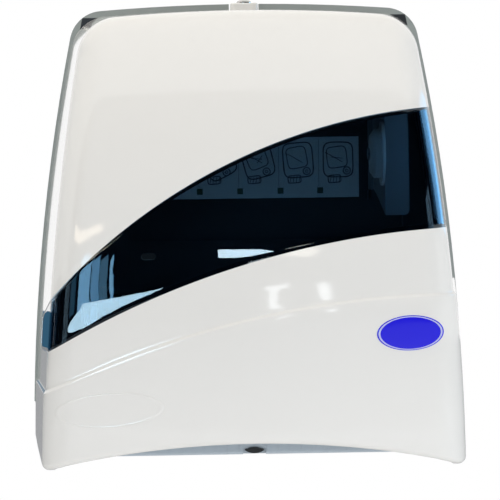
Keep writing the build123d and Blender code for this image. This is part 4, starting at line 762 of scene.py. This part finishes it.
face_shares = np.concatenate([np.linspace(0, 0.9, 10), np.linspace(0.92, 1, 12)])
badge_face = badge_part("badge_face", face_shares, dome(face_shares), BADGE_FOOT,
                        plastic("badge_blue", (0.020, 0.016, 0.70), 0.1, grain_size=6.0, grain_depth=0.01,
                                mottle=0.02, dusty=0.0, coat=0.3))
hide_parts("cover_badge")
ring_shares = np.linspace(RING_INNER, RING_OUTER, 9)
ring_bead = RING_RISE * np.sin(math.pi * (ring_shares - RING_INNER) / (RING_OUTER - RING_INNER))
badge_part("badge_ring", ring_shares, dome(ring_shares) + ring_bead, BADGE_THICK / 2,
           plastic("ring_white", (0.50, 0.52, 0.80), 0.2, grain_size=3.0, grain_depth=0.01, dusty=0.0))

# ======== window ========
# A lens of smoked acrylic, moulded to the cover's own curve and pressed into the opening from inside.
# It wraps round both corners. Its edge is seated in a black border that is bonded behind it.
LENS_THICK, LENS_GAP, SEAT, BORDER, EDGE_DROP = 2.4, 0.3, 0.25, 3.4, 0.15
BORDER_GAP, BORDER_THICK = 0.05, 1.2
RUN_PER_MM, RIM_GAP = 1 / 128.0, 0.02  # runs: for a millimetre of depth, and from border to clear lens
LENS_TINT, LENS_SHADOW = (0.20, 0.33, 0.45), (0.66, 0.78, 0.86)

# Rows and columns: close steps over the border at each edge, and wider ones between. Rows are moved from
# the lens's two arcs towards its middle over the border, and out again by the seat.
rim_steps, clear_shares = ramp((0, 1, 6)), ramp((0, 1, 24))[1:-1]
lens_shares = np.concatenate([np.zeros(len(rim_steps)), clear_shares, np.ones(len(rim_steps))])
lens_rows = LENS_LOW + lens_shares
lens_grow = np.concatenate([BORDER * rim_steps, BORDER * (1 - 2 * clear_shares), -BORDER * rim_steps[::-1]])
lens_grow += SEAT * (2 * lens_shares - 1)
lens_end, border_run = LENS_RUN - SEAT * RUN_PER_MM, BORDER * RUN_PER_MM
clear_runs = ramp((lens_end + border_run + RIM_GAP, EDGE_RUN, 7))
lens_columns, lens_sides = both_sides(np.concatenate([lens_end + rim_steps * border_run, clear_runs[:-1],
                                                      edge_runs[:-1], front_runs]))


def soft_edge(count):
    """Drop of each of a count of rows or columns: a quarter parabola over the border's steps at both ends."""
    drop = EDGE_DROP * (1 - rim_steps) ** 2
    return np.concatenate([drop, np.zeros(count - 2 * len(drop)), drop[::-1]])


lens_inset = LENS_GAP + np.maximum(soft_edge(len(lens_rows))[:, None], soft_edge(len(lens_columns))[None, :])
lens_points = skin_grid(lens_columns, lens_sides, lens_rows, lens_inset, lens_grow[:, None])
lens = build("window_lens", [shell(lens_points, LENS_THICK)])
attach(lens, "cover")
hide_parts("window")

rim = len(rim_steps) - 1
border_cells = np.ones((len(lens_rows) - 1, len(lens_columns) - 1), bool)
border_cells[rim:-rim, rim:-rim] = False
border_points = skin_grid(lens_columns, lens_sides, lens_rows, lens_inset + LENS_THICK + BORDER_GAP,
                          lens_grow[:, None])
border = build("window_border", [shell(border_points, BORDER_THICK, border_cells)])
border.data.materials.append(plastic("border_black", (0.002, 0.0025, 0.004), 0.5, grain_size=0.5,
                                     grain_depth=0.01, dusty=0.0, gloss=0.1))
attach(border, "cover")

# Smoked acrylic: faint mottling of the tint, wiping marks in the polish, and slow moulding waves.
glass, tree, shader = new_material("smoked_acrylic")
wipes = add_node(tree, "ShaderNodeGroup", [("node_tree", moulded)], Grain_per_metre=60.0,
                 Mottle_per_metre=20.0)
darker = [channel * 0.92 for channel in LENS_TINT]
tint = mixed(tree, wipes.outputs["Mottle"], (*LENS_TINT, 1), (*darker, 1))
polish = calculate(tree, "MULTIPLY_ADD", wipes.outputs["Smears"], 0.008, 0.004)
waves = add_node(tree, "ShaderNodeBump", Strength=1.0, Distance=0.00002, Height=wipes.outputs["Grain"])
wire(shader, Base_Color=tint, Roughness=polish, Normal=waves.outputs[0], IOR=1.49, Transmission_Weight=1.0)
clear = add_node(tree, "ShaderNodeBsdfTransparent", Color=(*LENS_SHADOW, 1))
in_shadow = add_node(tree, "ShaderNodeLightPath").outputs["Is Shadow Ray"]
lit = add_node(tree, "ShaderNodeMixShader", Fac=in_shadow, _1=shader.outputs[0], _2=clear.outputs[0])
wire(tree.nodes["Material Output"], Surface=lit.outputs[0])
lens.data.materials.append(glass)

# ======== room ========
# A pale studio: white all round, a broad warm light from above and cool fill from in front and below.
# Cards that only mirror-like and refracted rays see stand where the lens and the gloss look: dark ones
# for the shaded room, bright ones for its windows and lamps. Sizes are in metres.
AMBIENT = (0.315, 0.328, 0.35)
world = bpy.data.worlds.new("studio")
world.use_nodes = True
bpy.context.scene.world = world
tree = world.node_tree
path = add_node(tree, "ShaderNodeLightPath")
seen = path.outputs["Is Camera Ray"]
for kind in ("Is Transmission Ray", "Is Glossy Ray"):
    seen = calculate(tree, "MAXIMUM", seen, path.outputs[kind])
seen = calculate(tree, "MULTIPLY", seen, calculate(tree, "LESS_THAN", path.outputs["Diffuse Depth"], 0.5))
wire(tree.nodes["Background"], Color=mixed(tree, seen, (*AMBIENT, 1), (1, 1, 1, 1)))


def softbox(name, place, aim, size, power, colour):
    """Rectangular lamp of a size, at a place, turned to face a point; it isn't mirrored itself."""
    lamp = bpy.data.lights.new(name, "AREA")
    lamp.shape, lamp.energy, lamp.color = "RECTANGLE", power, colour
    lamp.size, lamp.size_y = size
    holder = linked(name, lamp)
    turn = (Vector(aim) - Vector(place)).to_track_quat("-Z", "Y").to_matrix().to_4x4()
    holder.matrix_world = Matrix.Translation(place) @ turn
    holder.visible_glossy = False


def flat_board(name, outline, material):
    """Flat piece of the stage with an outline of points."""
    mesh = bpy.data.meshes.new(name)
    mesh.from_pydata(outline, [], [tuple(range(len(outline)))])
    mesh.materials.append(material)
    return linked(name, mesh)


def card(name, outline, colour, seen_by=("glossy", "transmission")):
    """Flat stage card with an outline of points, glowing with a colour (linear), that only rays of the
    given kinds see."""
    material, _, shader = new_material(name)
    wire(shader, Base_Color=(0, 0, 0, 1), Specular_IOR_Level=0, Emission_Strength=max(colour),
         Emission_Color=(*[channel / max(colour) for channel in colour], 1))
    board = flat_board(name, outline, material)
    for kind in ("camera", "diffuse", "glossy", "transmission", "volume_scatter", "shadow"):
        setattr(board, "visible_" + kind, kind in seen_by)


def ahead(distance, *points):
    """Points of x and z on the plane at a distance in front of the wall."""
    return [(x, -distance, z) for x, z in points]


def beside(x, *points):
    """Points of y and z on the plane at x."""
    return [(x, y, z) for y, z in points]


softbox("overhead", (-0.15, -0.42, 1.65), (0, -0.15, 0), (1.5, 0.6), 22, (1, 0.95, 0.88))
softbox("low_fill", (0.1, -0.95, -0.57), (0, -0.2, -0.14), (1.3, 0.3), 4.6, (0.97, 0.98, 1))
softbox("left_fill", (-1.5, -0.9, 0.1), (0, -0.15, 0), (0.5, 1.2), 6, (1, 0.99, 0.95))
softbox("right_fill", (1.5, -0.8, 0.0), (0, -0.15, 0), (0.6, 1.2), 9, (0.90, 0.95, 1))

# The shaded room behind the viewer and to both sides, and the lit wall to the right and the left.
DARK_PLANE, PANE_PLANE, LAMP_PLANE, SIDE_PLANE = 2.2, 2.17, 2.15, 2.6
SHADE = (0.002, 0.004, 0.009)
card("dark_room", ahead(DARK_PLANE, (-4.3, -0.76), (-4.3, 2.6), (1.6, 2.75), (3.7, 3.70), (5.5, 2.7),
                        (5.5, 0.5), (2.3, -0.2), (-0.45, -0.30), (-0.67, -0.46), (-2.05, -0.56)), SHADE)
card("dark_left", beside(-SIDE_PLANE, (-1.85, 0.32), (0.75, 0.10), (0.75, -0.36), (-1.85, -0.55)), SHADE)
card("dark_right", beside(SIDE_PLANE, (-2.1, 3.10), (0.12, 1.52), (0.12, 0.40), (-2.1, 0.72)), SHADE)
card("blue_right", beside(SIDE_PLANE, (0.12, 1.50), (2.3, 0.92), (2.3, 0.18), (0.12, 0.42)), (0.9, 2.0, 3.2))
card("dark_wall_left", ahead(-1.2, (-3.3, 0.07), (-1.1, -0.09), (-1.1, -0.27), (-3.3, -0.42)), SHADE)
card("blue_wall_left", ahead(-1.2, (-1.1, -0.12), (-0.2, -0.168), (-0.2, -0.208), (-1.1, -0.25)),
     (0.04, 0.12, 0.2))

# Panes of a tall window, the pale floor in front of it, and lamps, all on planes before the dark room.
for number, (left, right, colour) in enumerate(((-0.925, -0.626, (2.4, 5.0, 7.4)),
                                                (-0.622, -0.587, (1.4, 3.3, 5.2)),
                                                (-0.585, -0.553, (0.7, 1.6, 2.4)),
                                                (-0.543, -0.527, (2.4, 5.0, 7.3)),
                                                (-2.2, -1.3, (0.25, 0.7, 1.1))), 1):
    card(f"pane_{number}", ahead(PANE_PLANE, (left, 0.30), (right, 0.36), (right, -0.16), (left, -0.20)),
         colour)
card("bright_floor", ahead(LAMP_PLANE, (-2.3, -0.29), (-0.85, -0.165), (-0.60, -0.08), (-0.31, 0.035),
                           (-0.42, -0.07), (-0.56, -0.21), (-0.64, -0.34), (-2.3, -0.36)), (9.0, 12.5, 14.5))
card("lamp_in_lens", ahead(LAMP_PLANE, (-0.098, 0.372), (-0.09, 0.38), (0.07, 0.377), (0.13, 0.347),
                           (0.02, 0.303), (-0.09, 0.298), (-0.098, 0.307)), (13.0, 15.5, 17.0))
card("lamp_on_cover", ahead(LAMP_PLANE, (0.20, 0.375), (0.31, 0.37), (0.27, 0.30), (0.17, 0.31)),
     (4.5, 4.2, 3.6))
card("window_1", ahead(LAMP_PLANE, (0.083, 0.03), (0.18, 0.06), (0.176, 0.035), (0.135, 0.0), (0.133, -0.12),
                       (0.172, -0.19), (0.11, -0.20), (0.097, -0.13), (0.10, -0.02)), (5.5, 5.8, 6.0))
card("window_2", ahead(LAMP_PLANE, (0.286, 0.06), (0.341, 0.06), (0.345, -0.02), (0.373, -0.20),
                       (0.335, -0.20), (0.305, -0.06)), (5.5, 5.8, 6.0))
card("warm_lamp", ahead(LAMP_PLANE, (-0.585, 0.66), (-0.575, 0.58), (-0.66, 0.50), (-1.2, 0.52),
                        (-2.2, 0.72), (-2.3, 0.92), (-1.2, 0.66), (-0.68, 0.60)), (5.5, 4.7, 3.6))
# Painted shade: a dim glowing card behind the plate, seen only through the lens, stands in for the shaded
# wall behind it.
card("shaded_wall_card", ahead(-0.005, (-0.13, -0.13), (0.13, -0.13), (0.13, 0.13), (-0.13, 0.13)),
     (0.02, 0.02, 0.02), ("transmission",))

# The floor is pale grey under the object, where its shadow falls, and fades to white further out.
FLOOR_Z, FLOOR_HALF, FADE_START, FADE_END = -0.62, 6.0, 0.7, 1.3
floor_corners = [(x * FLOOR_HALF, y * FLOOR_HALF, FLOOR_Z) for x, y in ((-1, -1), (1, -1), (1, 1), (-1, 1))]
floor_white, tree, shader = new_material("floor_white")
wire(shader, Base_Color=(0.8, 0.8, 0.8, 1), Roughness=0.9, Specular_IOR_Level=0.1)
glow = add_node(tree, "ShaderNodeEmission", Color=(1, 1, 1, 1), Strength=1.0)
distance = add_node(tree, "ShaderNodeVectorMath", [("operation", "LENGTH")], _0=object_place(tree))
fade = add_node(tree, "ShaderNodeMapRange", Value=distance.outputs["Value"], From_Min=FADE_START,
                From_Max=FADE_END, To_Min=0.7, To_Max=1.0)
looked_at = add_node(tree, "ShaderNodeLightPath").outputs["Is Camera Ray"]
white = add_node(tree, "ShaderNodeMixShader", Fac=calculate(tree, "MULTIPLY", looked_at, fade.outputs[0]),
                 _1=shader.outputs[0], _2=glow.outputs[0])
wire(tree.nodes["Material Output"], Surface=white.outputs[0])
floor = flat_board("floor", floor_corners, floor_white)
